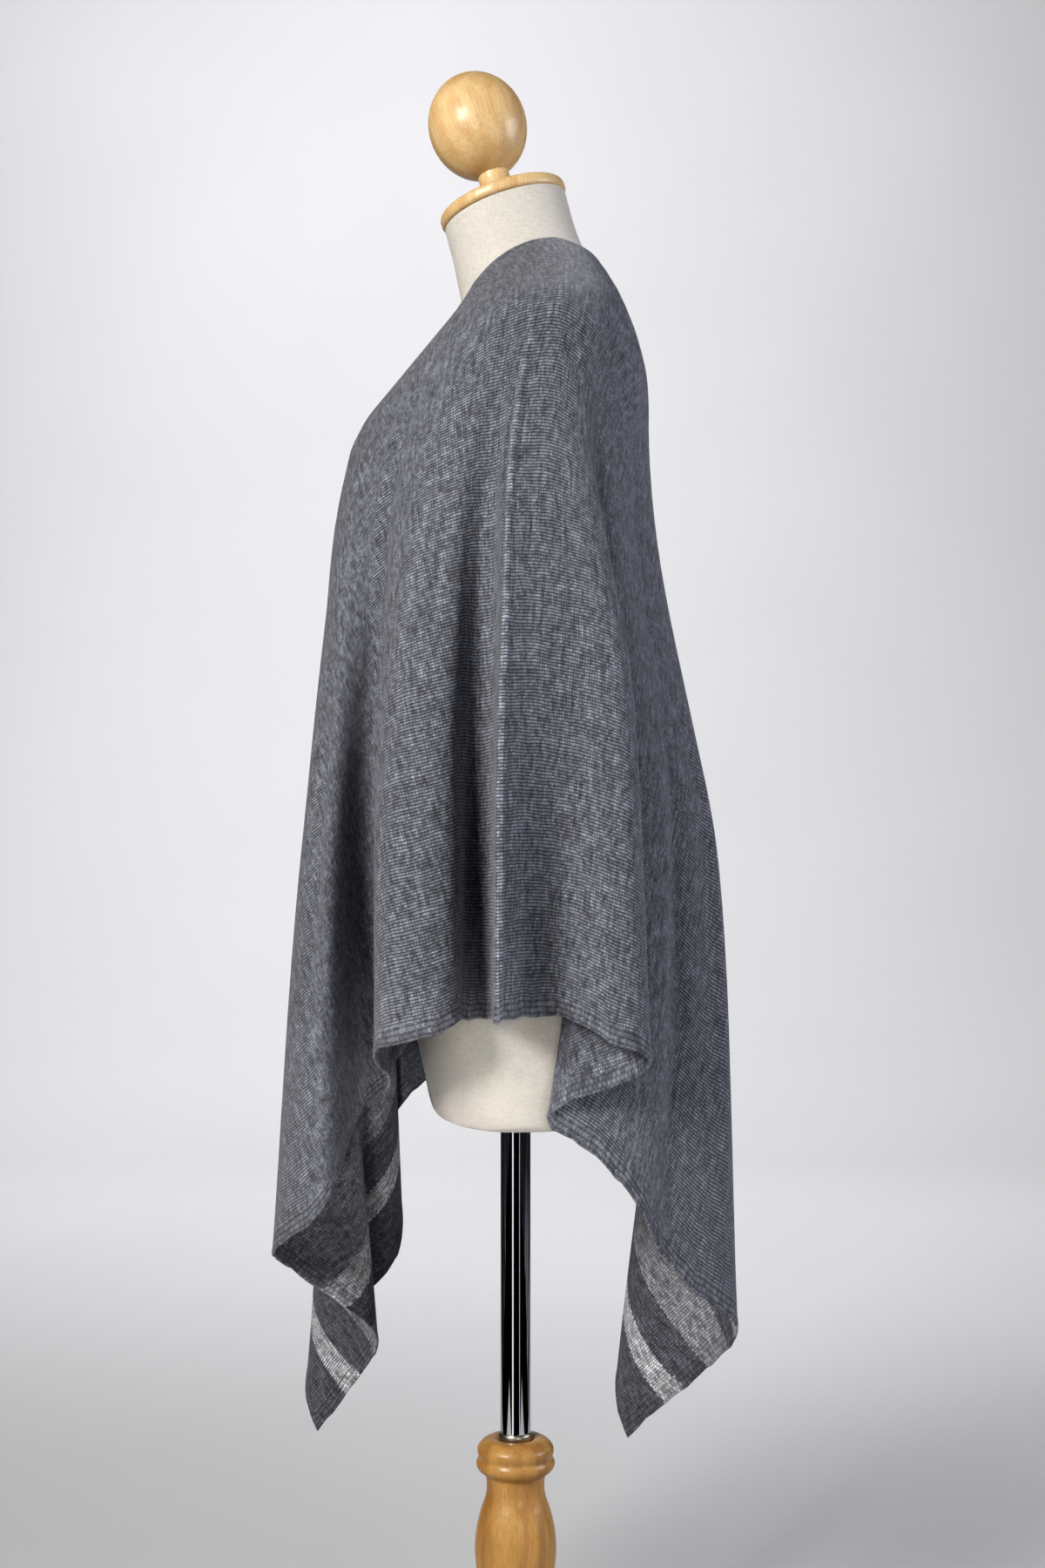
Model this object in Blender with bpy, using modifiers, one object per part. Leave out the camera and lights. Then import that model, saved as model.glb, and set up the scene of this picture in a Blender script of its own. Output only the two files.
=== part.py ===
"""Knitted poncho sweater on a dress form.

The poncho is one knitted rectangle, folded in half over the wearer's left shoulder. The fold is a
pressed crease down the left side. The neck is a slit 35 cm long at the fold end of the top edge, and
the rest of that edge is one seam, which hangs down the right side. The free corners hang at the front
and at the back.
It lies on a padded linen torso on a turned wooden stand.

Frame: +Z up, origin on the floor under the pole. The wearer faces -Y, and their left is +X.
All tables are in centimetres and degrees, and CM turns them to metres.
"""
import math

import bpy
import numpy as np
from mathutils import Euler, Vector
from mathutils.bvhtree import BVHTree

CM = 0.01
GAP = 0.03               # between pieces that touch, in cm
NAME = "poncho_on_dress_form"

# ---- the cut of the poncho, in cm ----
CUT_HALF_LENGTH = 77.0   # from the fold to a short end
CUT_WIDTH = 68.0         # from the neck edge to the hem
CLOTH_THICKNESS = 0.2
CLOTH_CLEARANCE = 0.16   # between the torso and the wall, at the wall's points where it lies on it

# ---- the dress form, in cm ----
NECK_LEAN = 17.4         # degrees, the neck's top leans forward
NECK_SIDE = 4.5          # degrees, and a little to the wearer's right
NECK_ROOT = 125.1        # the neck leans sideways from this height up
NECK_RISE = 2.5          # and is at its full angle this much higher
NECK_TOP = 131.86        # ring of the neck's top
CAP_RADIUS = 5.42
CAP_THICKNESS = 1.1
CAP_ROUNDING = 0.42
PEG_RADIUS = 1.32
PEG_HEIGHT = 2.3
BALL_RADIUS = 4.12
BALL_HEIGHT = 9.1        # slightly taller than wide
BALL_FLAT = 0.25         # how far the peg sits inside the round of the ball

# ---- the stand, in cm ----
POLE_RADIUS = 1.27
FERRULE_RADIUS = 1.42
FERRULE_HEIGHT = 0.6
COLUMN_TOP = 29.25
FOOT_RADIUS = 16.0
FOOT_HEIGHT = 2.6
TORSO_BOTTOM = 57.0

# Rings of the torso from the bottom up: z and y of the ring's centre, its tilt, its half width,
# its depth to the front and to the back, and how square it is (2 is an ellipse).
TORSO_RINGS = (
    # z,     y,    tilt, wide,  front, back, square
    (57.00, 0.00, 0.0, 13.3, 6.1, 8.9, 2.2),
    (57.25, 0.00, 0.0, 14.2, 6.7, 9.7, 2.2),
    (58.10, 0.00, 0.0, 15.0, 7.1, 10.3, 2.2),
    (60.00, 0.00, 0.0, 15.8, 7.5, 11.1, 2.2),
    (63.50, 0.00, 0.0, 16.6, 8.3, 11.9, 2.2),
    (67.00, 0.00, 0.0, 17.0, 9.0, 12.2, 2.2),
    (72.00, 0.00, 0.0, 16.6, 9.4, 11.4, 2.2),
    (78.00, 0.00, 0.0, 15.0, 9.2, 9.3, 2.2),
    (84.00, 0.00, 0.0, 12.9, 8.6, 7.3, 2.2),
    (89.00, 0.00, 0.0, 12.2, 8.4, 6.7, 2.2),
    (95.00, 0.00, 0.0, 12.9, 9.8, 7.6, 2.2),
    (101.0, 0.00, 0.0, 13.9, 12.0, 9.2, 2.2),
    (106.0, 0.00, 0.0, 14.9, 13.3, 10.0, 2.2),
    (110.0, 0.00, 0.0, 15.6, 13.6, 10.6, 2.2),
    (113.5, 0.20, 1.0, 16.5, 12.5, 10.5, 2.2),
    (116.5, 0.60, 2.5, 17.3, 10.4, 10.0, 2.2),
    (119.0, 1.00, 4.5, 17.6, 8.8, 9.0, 2.2),
    (120.8, 1.20, 6.5, 17.0, 7.7, 8.1, 2.2),
    (122.1, 1.30, 8.5, 15.3, 6.9, 7.5, 2.15),
    (123.2, 1.35, 10.5, 12.7, 6.5, 7.0, 2.1),
    (124.2, 1.30, 12.5, 9.9, 6.1, 6.5, 2.05),
    (125.1, 1.15, 14.0, 7.6, 5.85, 6.2, 2.0),
    (126.1, 0.80, 15.4, 6.05, 5.6, 5.75, 2.0),
    (127.6, 0.28, 15.8, 5.40, 5.38, 5.38, 2.0),
    (129.5, -0.25, 16.6, 5.26, 5.26, 5.26, 2.0),
    (131.86, -0.87, 17.4, 5.26, 5.26, 5.26, 2.0),
)

# The edge of the neck slit on the torso: how far along the slit from the fold, the torso ring that it
# crosses (its z) and the direction round the torso (0 is the wearer's left, 90 the back).
NECK_EDGE_FRONT = (
    # along, ring,  turn
    (0.0, 127.27, 10.0),
    (1.7, 127.05, -8.2),
    (4.0, 126.35, -31.5),
    (5.5, 125.60, -48.0),
    (7.2, 124.25, -64.0),
    (10.3, 123.20, -84.0),
    (16.2, 122.00, -106.0),
    (21.9, 119.90, -125.0),
    (27.2, 116.30, -148.0),
    (35.0, 110.50, -180.0),
)
NECK_EDGE_BACK = (
    (0.0, 127.27, 10.0),
    (1.7, 127.25, 28.0),
    (3.9, 126.65, 49.8),
    (6.1, 126.10, 72.0),
    (8.3, 125.30, 90.0),
    (12.3, 123.50, 106.0),
    (19.2, 120.90, 124.0),
    (26.1, 116.60, 147.0),
    (35.0, 110.50, 180.0),
)

# The folds, each a line that hangs from the neck edge to the hem. slit: where it starts on the neck
# slit. hem: where it ends on the cut's edge, measured from the fold along the long edge, round the
# corner and up the short end. turn and ring: where it leaves the torso. mid_x, mid_y: half way down
# from there. x, y, z: its end on the hem.
FRONT_FOLDS = (
    # name,             slit, hem,   turn,  ring,  mid_x, mid_y,  x,     y,     z
    ("crease",           0.0, 0.0,   2.0,   118.6, 21.9,  -0.7,   24.0,  -1.2,  66.5),
    ("trough side",      1.4, 7.2,   -6.0,  118.6, 18.4,  -2.1,   16.7,  -2.4,  66.0),
    ("side trough",      1.8, 9.2,   -9.0,  118.6, 18.2,  -3.1,   16.5,  -3.8,  66.0),
    ("ridge edge",       2.8, 14.2,  -16.0, 118.4, 20.6,  -4.6,   22.0,  -4.7,  65.9),
    ("side ridge",       3.3, 16.8,  -21.0, 118.0, 20.6,  -6.8,   22.5,  -7.4,  65.0),
    ("side ridge turn",  4.0, 20.6,  -27.5, 117.4, 18.4,  -9.5,   20.0,  -10.3, 63.8),
    ("hip roll",         4.7, 24.6,  -33.5, 116.4, 15.4,  -10.2,  15.8,  -10.2, 62.0),
    ("hip valley",       5.8, 32.8,  -40.0, 115.4, 11.0,  -10.9,  7.6,   -10.8, 59.0),
    ("chest slope",      6.1, 35.0,  -42.0, 114.0, 10.8,  -11.8,  7.2,   -12.0, 58.0),
    ("chest side",       7.5, 43.4,  -55.0, 111.5, 13.2,  -14.3,  15.4,  -14.4, 51.8),
    ("front ridge",      9.0, 52.2,  -66.0, 110.6, 8.2,   -17.0,  8.2,   -19.3, 46.4),
    ("front ridge turn", 10.2, 57.6, -75.0, 110.4, 4.6,   -16.4,  4.4,   -17.8, 43.8),
    ("front valley",     11.6, 64.2, -86.0, 110.4, 1.4,   -14.6,  1.8,   -12.0, 38.7),
    ("tail slope",       12.8, 69.5, -96.0, 110.4, -2.2,  -14.4,  -1.8,  -12.4, 34.8),
    ("front corner",     14.4, 77.0, -107.0, 110.4, -5.2, -15.8,  -4.8,  -17.0, 28.3),
    ("tail ridge",       16.2, 82.5, -114.0, 110.2, -8.0, -15.6,  -7.4,  -18.1, 32.8),
    ("right valley",     19.2, 94.0, -127.0, 109.6, -11.9, -13.0, -12.6, -11.2, 40.6),
    ("right slope",      22.5, 101.5, -138.0, 109.0, -15.4, -11.0, -17.2, -10.8, 46.2),
    ("right ridge",      26.0, 109.0, -149.0, 108.4, -18.7, -9.8, -21.6, -12.0, 51.8),
    ("right trough",     29.5, 118.5, -161.0, 107.6, -18.8, -5.9, -19.6, -5.8, 58.6),
    ("sleeve ridge",     32.4, 131.0, -171.0, 106.8, -20.8, -3.2, -24.8, -3.6, 64.6),
)
SEAM = ("seam", 35.0, 145.0, -180.0, 106.4, -19.6, 0.2, -22.8, 0.2, 69.4)
BACK_FOLDS = (
    ("left slope",       1.3, 6.6,   13.0,  118.6, 20.1,  3.2,    18.8,  3.3,   66.3),
    ("left ridge",       2.5, 12.0,  21.0,  118.4, 19.9,  7.3,    21.6,  8.0,   64.4),
    ("left ridge turn",  3.3, 15.0,  27.0,  118.0, 18.3,  8.8,    19.5,  10.1,  63.0),
    ("left roll",        4.2, 19.5,  32.0,  117.4, 16.8,  7.8,    18.2,  7.4,   61.0),
    ("left valley",      5.0, 24.5,  36.0,  117.0, 15.8,  6.8,    17.4,  2.6,   58.7),
    ("back slope",       6.0, 30.5,  43.0,  116.6, 14.6,  8.6,    16.2,  5.8,   55.6),
    ("back step",        7.0, 37.0,  51.0,  115.0, 13.2,  10.8,   14.8,  9.6,   51.0),
    ("back step foot",   8.0, 44.0,  59.0,  113.0, 11.6,  12.8,   12.6,  12.2,  46.2),
    ("back side",        9.0, 51.5,  66.0,  113.2, 9.4,   14.9,   10.2,  15.6,  42.6),
    ("back ridge",       10.2, 59.5, 76.0,  113.4, 6.3,   16.25,  6.0,   17.9,  39.8),
    ("back ridge turn",  11.6, 65.5, 86.0,  113.4, 2.8,   15.4,   1.4,   17.2,  36.4),
    ("back valley",      13.2, 71.5, 96.0,  113.4, -0.6,  13.6,   -1.2,  13.6,  32.4),
    ("back corner",      14.8, 77.0, 104.0, 113.4, -3.0,  12.7,   -2.6,  9.5,   28.5),
    ("tail edge",        16.6, 83.5, 110.0, 113.4, -5.6,  12.7,   -5.8,  9.0,   33.8),
    ("right back slope", 19.2, 91.0, 118.0, 111.8, -9.0,  13.6,   -9.6,  13.6,  39.2),
    ("right back ridge", 21.6, 98.0, 126.0, 111.0, -12.6, 14.0,   -14.4, 16.6,  44.0),
    ("right back turn",  24.2, 105.0, 137.0, 110.2, -15.4, 11.6,  -18.0, 13.6,  49.2),
    ("right back valley", 27.0, 112.5, 148.0, 109.0, -16.8, 8.4,  -17.6, 7.8,   54.2),
    ("right back side",  29.6, 121.5, 159.0, 108.0, -18.6, 6.4,   -21.8, 7.0,   59.6),
    ("back sleeve ridge", 32.4, 132.0, 170.0, 107.0, -20.6, 3.8,  -24.6, 3.8,   65.6),
)
# What a fold line holds, in order; "length" is that of its straight line on the flat cut.
LINE_VALUES = ("edge_ring", "edge_turn", "ring", "turn", "mid_x", "mid_y", "x", "y", "z", "slit", "hem",
               "length")
COLUMNS_PER_FOLD = 3     # cloth columns from one fold line to the next
CONTROLS_ON_TORSO = 13   # points that a line is drawn through where it lies on the torso
TAUT_TURNS = 200         # turns of smoothing that pull a line straight across a hollow
STEPS_PER_CONTROL = 12   # fine steps of a line between those points
ROWS_ON_TORSO = 11       # cloth rows from the neck edge to where it leaves the torso
ROWS_HANGING = 10        # and from there to the hem
HANG_GRADING = 1.2       # above 1, the hanging rows are closer at the torso
SHARPEST = 0.75          # cosine that limits how far the wall's corner stands out at a tight fold

# Outer profile of the stand's column, from the top down: radius and z.
COLUMN_PROFILE = (
    (1.46, 29.25), (1.62, 29.40), (1.95, 29.46), (2.40, 29.36), (2.82, 29.10), (3.08, 28.80),
    (3.20, 28.53), (3.18, 28.22), (3.11, 28.00), (3.06, 27.87), (3.14, 27.72), (3.25, 27.54),
    (3.29, 27.36), (3.24, 27.08), (3.06, 26.80), (2.76, 26.55), (2.50, 26.30), (2.42, 25.75),
    (2.41, 25.20), (2.55, 24.45), (2.84, 23.60), (3.13, 22.56), (3.35, 21.25), (3.41, 20.20),
    (3.33, 19.00), (3.10, 17.40), (2.70, 15.60), (2.25, 13.40), (1.98, 11.00), (2.06, 8.60),
    (2.50, 6.80), (3.10, 5.70), (3.35, 5.00), (3.25, 4.40), (3.02, 4.10), (3.44, 3.60),
    (3.60, 3.10), (3.60, 2.66),
)


# ---------------------------------------------------------------- scene

def clear_scene():
    """Remove every object, so that the file can be run again in the same session."""
    for obj in list(bpy.data.objects):
        bpy.data.objects.remove(obj, do_unlink=True)


def make_material(name, colour, roughness, metallic=0.0):
    """A Principled BSDF material of one colour."""
    material = bpy.data.materials.new(name)
    material.use_nodes = True
    shader = material.node_tree.nodes["Principled BSDF"]
    shader.inputs["Base Color"].default_value = (*colour, 1.0)
    shader.inputs["Roughness"].default_value = roughness
    shader.inputs["Metallic"].default_value = metallic
    return material


def add_object(name, mesh, material, collection):
    """Link a mesh as a smooth-shaded object in the collection."""
    mesh.materials.append(material)
    mesh.shade_smooth()
    mesh.set_sharp_from_angle(angle=math.radians(40))
    obj = bpy.data.objects.new(name, mesh)
    collection.objects.link(obj)
    return obj


def grid_mesh(name, points, close_across, cap_first, cap_last):
    """A mesh of quads through points[row, column], in cm.

    close_across joins the last column to the first. A cap closes the first or last row with one face.
    """
    rows, columns = points.shape[:2]
    number = np.arange(rows * columns).reshape(rows, columns)
    faces = []
    for row in range(rows - 1):
        for column in range(columns if close_across else columns - 1):
            beside = (column + 1) % columns
            faces.append((number[row, column], number[row, beside],
                          number[row + 1, beside], number[row + 1, column]))
    if cap_first:
        faces.append(tuple(number[0, ::-1]))
    if cap_last:
        faces.append(tuple(number[-1]))
    mesh = bpy.data.meshes.new(name)
    mesh.from_pydata((points.reshape(-1, 3) * CM).tolist(), [], faces)
    mesh.update()
    return mesh


# ---------------------------------------------------------------- curves through tables

def smooth_curve(knots, values, at):
    """Monotone cubic curve through values at knots (Fritsch and Carlson), for rising knots."""
    knots = np.asarray(knots, float)
    values = np.asarray(values, float)
    step = np.diff(knots)
    slope = np.diff(values) / step
    tangent = np.zeros_like(values)
    tangent[0] = slope[0]
    tangent[-1] = slope[-1]
    same_sign = slope[:-1] * slope[1:] > 0
    weight_a = 2 * step[1:] + step[:-1]
    weight_b = step[1:] + 2 * step[:-1]
    with np.errstate(divide="ignore", invalid="ignore"):
        mean = (weight_a + weight_b) / (weight_a / slope[:-1] + weight_b / slope[1:])
    tangent[1:-1] = np.where(same_sign, mean, 0.0)
    at = np.clip(at, knots[0], knots[-1])
    cell = np.clip(np.searchsorted(knots, at, side="right") - 1, 0, len(step) - 1)
    u = (at - knots[cell]) / step[cell]
    return ((1 + 2 * u) * (1 - u) ** 2 * values[cell] + u * (1 - u) ** 2 * step[cell] * tangent[cell]
            + u * u * (3 - 2 * u) * values[cell + 1] + u * u * (u - 1) * step[cell] * tangent[cell + 1])


def closed_spline(knots, period, values, at):
    """Smooth closed cubic spline: values[knot, ...] at knots, repeating after period."""
    knots = np.asarray(knots, float)
    values = np.asarray(values, float)
    count = len(knots)
    step = np.diff(np.append(knots, knots[0] + period))
    following = np.roll(np.arange(count), -1)
    before = np.roll(np.arange(count), 1)
    flat = values.reshape(count, -1)
    slope = (flat[following] - flat) / step[:, None]
    matrix = np.zeros((count, count))
    matrix[np.arange(count), np.arange(count)] = 2 * (step + step[before])
    matrix[np.arange(count), following] += step[before]
    matrix[np.arange(count), before] += step
    tangent = np.linalg.solve(matrix, 3 * (step[before, None] * slope + step[:, None] * slope[before]))
    at = (at - knots[0]) % period + knots[0]
    cell = np.clip(np.searchsorted(knots, at, side="right") - 1, 0, count - 1)
    width = step[cell][:, None]
    u = ((at - knots[cell])[:, None]) / width
    ahead = following[cell]
    result = ((1 + 2 * u) * (1 - u) ** 2 * flat[cell] + u * (1 - u) ** 2 * width * tangent[cell]
              + u * u * (3 - 2 * u) * flat[ahead] + u * u * (u - 1) * width * tangent[ahead])
    return result.reshape((len(at),) + values.shape[1:])


def along_curve(points, share):
    """Points at share[row, line] of the length of each smooth line.

    points[control, line, 3] are the control points of each line. The line is a Catmull-Rom curve
    through them, measured along its length.
    """
    chord = np.linalg.norm(np.diff(points, axis=0), axis=2)
    first = 2 * points[:1] - points[1:2]
    last = 2 * points[-1:] - points[-2:-1]
    padded = np.concatenate([first, points, last])
    fine = []
    for cell in range(len(points) - 1):
        p0, p1, p2, p3 = padded[cell:cell + 4]
        d1 = chord[cell][:, None]
        d0 = chord[max(cell - 1, 0)][:, None]
        d2 = chord[min(cell + 1, len(chord) - 1)][:, None]
        m1 = d1 * ((p1 - p0) / d0 * d1 + (p2 - p1) / d1 * d0) / (d0 + d1)
        m2 = d1 * ((p2 - p1) / d1 * d2 + (p3 - p2) / d2 * d1) / (d1 + d2)
        for u in np.arange(STEPS_PER_CONTROL) / STEPS_PER_CONTROL:
            fine.append((1 + 2 * u) * (1 - u) ** 2 * p1 + u * (1 - u) ** 2 * m1
                        + u * u * (3 - 2 * u) * p2 + u * u * (u - 1) * m2)
    fine.append(points[-1])
    fine = np.array(fine)
    length = np.concatenate([np.zeros((1, fine.shape[1])),
                             np.cumsum(np.linalg.norm(np.diff(fine, axis=0), axis=2), axis=0)])
    result = np.empty((len(share), fine.shape[1], 3))
    for line in range(fine.shape[1]):
        wanted = share[:, line] * length[-1, line]
        for axis in range(3):
            result[:, line, axis] = np.interp(wanted, length[:, line], fine[:, line, axis])
    return result


# ---------------------------------------------------------------- dress form

def torso_points(ring, turn):
    """Points on the torso's surface: ring is a ring's z, and turn the direction round it in degrees.

    Each ring is a superellipse, |x/a|^n + |y/b|^n = 1, with b the front or the back depth, tilted
    about the X axis. The neck's rings also tilt about the Y axis, and their centres lean with them.
    """
    table = np.array(TORSO_RINGS)
    z, y, tilt, wide, front, back, square = (smooth_curve(table[:, 0], table[:, k], ring) for k in range(7))
    turn = np.radians(turn)
    cos, sin = np.cos(turn), np.sin(turn)
    x = wide * np.sign(cos) * np.abs(cos) ** (2 / square)
    depth = np.where(sin < 0, front, back)
    forward = depth * np.sign(sin) * np.abs(sin) ** (2 / square)
    tilt = np.radians(tilt)
    up = ring - NECK_ROOT
    side = math.radians(NECK_SIDE) * smooth_curve((0.0, NECK_RISE), (0.0, 1.0), up)
    along = x - np.maximum(up - NECK_RISE / 2, 0.0) * np.sin(side)
    return np.stack([along, y + forward * np.cos(tilt), z + forward * np.sin(tilt) + x * np.sin(side)],
                    axis=-1)


def torso_skin(ring, turn, distance):
    """Points at a distance outside the torso, and its normals there."""
    small = 0.05
    point = torso_points(ring, turn)
    round_it = torso_points(ring, turn + small * 10) - torso_points(ring, turn - small * 10)
    up_it = torso_points(ring + small, turn) - torso_points(ring - small, turn)
    normal = np.cross(round_it, up_it)
    normal /= np.linalg.norm(normal, axis=-1, keepdims=True)
    return point + normal * distance, normal


def torso_grid():
    """Points of the torso's mesh, [ring, column, 3]."""
    low = [57.0, 57.1, 57.4, 58.1, 59.5]
    middle = list(np.linspace(62.0, 116.0, 17))
    high = [117.6, 119.0, 120.2, 121.2, 122.1, 122.9, 123.7, 124.6, 125.5, 126.4, 127.6, 131.86]
    rings = np.array(low + middle + high)
    turns = np.arange(44) * 360 / 44
    return torso_points(rings[:, None] + 0 * turns, turns[None, :] + 0 * rings[:, None])


def torso_tree():
    """The torso's faces, in cm, to find the nearest point on."""
    points = torso_grid()
    rows, columns = points.shape[:2]
    number = np.arange(rows * columns).reshape(rows, columns)
    beside = np.roll(number, -1, axis=1)
    faces = np.stack([number[:-1], beside[:-1], beside[1:], number[1:]], axis=-1).reshape(-1, 4)
    return BVHTree.FromPolygons([Vector(p) for p in points.reshape(-1, 3)], faces.tolist())


def build_torso(material, collection):
    """The padded torso: a loft through its rings, closed flat at the bottom and at the neck."""
    mesh = grid_mesh("form_torso", torso_grid(), True, True, True)
    return add_object("form_torso", mesh, material, collection)


def lean_frame(up):
    """Place and turn of a turned piece at a height along the neck's leaning axis, from the neck's top."""
    start = torso_points(np.array([NECK_TOP] * 2), np.array([0.0, 180.0])).mean(axis=0)
    turn = Euler((math.radians(NECK_LEAN), -math.radians(NECK_SIDE), 0.0))
    return Vector(start) + turn.to_matrix() @ Vector((0.0, 0.0, up)), turn


def turned_object(name, profile, steps, material, collection, lean_from=None):
    """A turned piece: a profile of (radius, height) from the top down, spun by a Screw modifier.

    lean_from is a height on the neck's axis that the profile's zero goes to.
    """
    mesh = bpy.data.meshes.new(name)
    points = [(radius * CM, 0.0, height * CM) for radius, height in profile]
    mesh.from_pydata(points, [(k, k + 1) for k in range(len(points) - 1)], [])
    obj = bpy.data.objects.new(name, mesh)
    collection.objects.link(obj)
    mesh.materials.append(material)
    screw = obj.modifiers.new("spin", "SCREW")
    screw.axis = "Z"
    screw.steps = steps
    screw.render_steps = steps
    screw.use_merge_vertices = True
    screw.merge_threshold = 0.00005
    screw.use_smooth_shade = True
    if lean_from is not None:
        place, turn = lean_frame(lean_from)
        obj.location = place * CM
        obj.rotation_euler = turn
    return obj


def arc(centre, radius, start, end, count):
    """Points (radius, height) on an arc, from start to end degrees, 0 pointing out and 90 up."""
    angles = np.radians(np.linspace(start, end, count))
    return [(centre[0] + radius * math.cos(a), centre[1] + radius * math.sin(a)) for a in angles]


def build_neck_cap(material, collection):
    """The turned wooden disc on the neck, with a rounded rim."""
    top = CAP_THICKNESS
    rim = CAP_RADIUS - CAP_ROUNDING
    profile = [(0.0, top)] + arc((rim, top - CAP_ROUNDING), CAP_ROUNDING, 90, 0, 5)
    profile += arc((rim, CAP_ROUNDING), CAP_ROUNDING, 0, -90, 5) + [(0.0, 0.0)]
    return turned_object("form_neck_cap", profile, 40, material, collection, lean_from=GAP)


def build_finial(material, collection):
    """The ball finial with its peg, one turned piece."""
    middle = PEG_HEIGHT + BALL_HEIGHT / 2 - BALL_FLAT
    last = math.degrees(math.asin(-(BALL_HEIGHT / 2 - BALL_FLAT) / (BALL_HEIGHT / 2)))
    profile = [(0.0, middle + BALL_HEIGHT / 2)]
    for angle in np.radians(np.linspace(80, last, 15)):
        profile.append((BALL_RADIUS * math.cos(angle), middle + BALL_HEIGHT / 2 * math.sin(angle)))
    profile[-1] = (PEG_RADIUS, PEG_HEIGHT)
    profile += [(PEG_RADIUS, 0.0), (0.0, 0.0)]
    return turned_object("form_finial", profile, 30, material, collection,
                         lean_from=GAP + CAP_THICKNESS + GAP)


# ---------------------------------------------------------------- stand

def build_stand(wood, chrome, steel, collection):
    """Pole, ferrule, turned column and plain round foot, from the torso down."""
    top = TORSO_BOTTOM - GAP
    bottom = COLUMN_TOP + GAP
    turned_object("stand_pole", [(0.0, top), (POLE_RADIUS, top), (POLE_RADIUS, bottom), (0.0, bottom)],
                  32, chrome, collection)
    inner = POLE_RADIUS + GAP
    low = COLUMN_TOP + GAP
    high = low + FERRULE_HEIGHT
    ring = [(inner, high), (FERRULE_RADIUS, high), (FERRULE_RADIUS, low), (inner, low),
            (inner, high)]
    turned_object("stand_ferrule", ring, 28, steel, collection)
    turned_object("stand_column", [(0.0, COLUMN_TOP)] + list(COLUMN_PROFILE) + [(0.0, FOOT_HEIGHT + GAP)],
                  22, wood, collection)
    rounding = 0.9
    rim = FOOT_RADIUS - rounding
    foot = [(0.0, FOOT_HEIGHT)] + arc((rim, FOOT_HEIGHT - rounding), rounding, 90, 0, 4)
    foot += [(FOOT_RADIUS, 0.2), (FOOT_RADIUS - 0.2, 0.0), (0.0, 0.0)]
    turned_object("stand_foot", foot, 48, wood, collection)


# ---------------------------------------------------------------- poncho

def fold_rows():
    """Every fold line round the garment: front from the crease to the seam, then back from the seam.

    Returns the place of each line's end round the cut's edge, and its values with the columns of
    LINE_VALUES. The turns of the back count on from those of the front, down to a whole circle.
    """
    rows = []
    places = []
    half_edge = SEAM[2]
    for sign, folds, edge in ((1, FRONT_FOLDS + (SEAM,), NECK_EDGE_FRONT),
                              (-1, tuple(reversed(BACK_FOLDS)), NECK_EDGE_BACK)):
        edge = np.array(edge)
        for name, slit, hem, turn, ring, mid_x, mid_y, x, y, z in folds:
            edge_ring = smooth_curve(edge[:, 0], edge[:, 1], slit)
            edge_turn = smooth_curve(edge[:, 0], edge[:, 2], slit)
            circle = 0.0 if sign > 0 else -360.0
            rows.append((edge_ring, edge_turn + circle, ring, turn + circle, mid_x, mid_y, x, y, z,
                         slit, hem, flat_length(slit, hem)))
            places.append(hem if sign > 0 else 2 * half_edge - hem)
    return np.array(places), np.array(rows)


def flat_length(slit, hem):
    """Length on the flat cut of the line from a point of the neck slit to a point of the cut's edge."""
    across = np.minimum(hem, CUT_HALF_LENGTH) - slit
    down = CUT_WIDTH - np.maximum(hem - CUT_HALF_LENGTH, 0.0)
    return np.hypot(across, down)


def hang_lines():
    """Values of every column of the cloth, by the names in LINE_VALUES: smooth curves through the folds."""
    places, rows = fold_rows()
    whole = 2 * SEAM[2]
    ends = np.append(places, whole)
    between = np.arange(COLUMNS_PER_FOLD) / COLUMNS_PER_FOLD
    at = (ends[:-1, None] + np.diff(ends)[:, None] * between).ravel()
    # The turns grow by a circle round the garment, so the closed curve goes through the rest of them.
    growing = np.array(["turn" in name for name in LINE_VALUES])
    circle = -360.0 / whole
    columns = closed_spline(places, whole, rows - circle * places[:, None] * growing, at)
    columns += circle * at[:, None] * growing
    return dict(zip(LINE_VALUES, columns.T))


def pull_taut(points, normal):
    """Lift the points of each line that lie in a hollow of the torso, where cloth would span it."""
    for turn in range(TAUT_TURNS):
        middle = (points[:-2] + points[2:]) / 2
        lift = ((middle - points[1:-1]) * normal[1:-1]).sum(axis=-1, keepdims=True)
        points[1:-1] += normal[1:-1] * np.maximum(lift, 0.0)
    return points


def keep_clear(points, torso):
    """Push the points that are too near the torso, or in it, out to the cloth's clearance."""
    least = CLOTH_CLEARANCE + CLOTH_THICKNESS / 2
    moved = points.reshape(-1, 3).copy()
    for number, point in enumerate(moved):
        spot, normal, face, distance = torso.find_nearest(Vector(point))
        away = Vector(point) - spot
        if away.dot(normal) < 0 or distance < least:
            moved[number] = spot + normal * least
    return moved.reshape(points.shape)


def path_length(points):
    """Length of each line of points[control, line, 3]."""
    return np.linalg.norm(np.diff(points, axis=0), axis=2).sum(axis=0)


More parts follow.
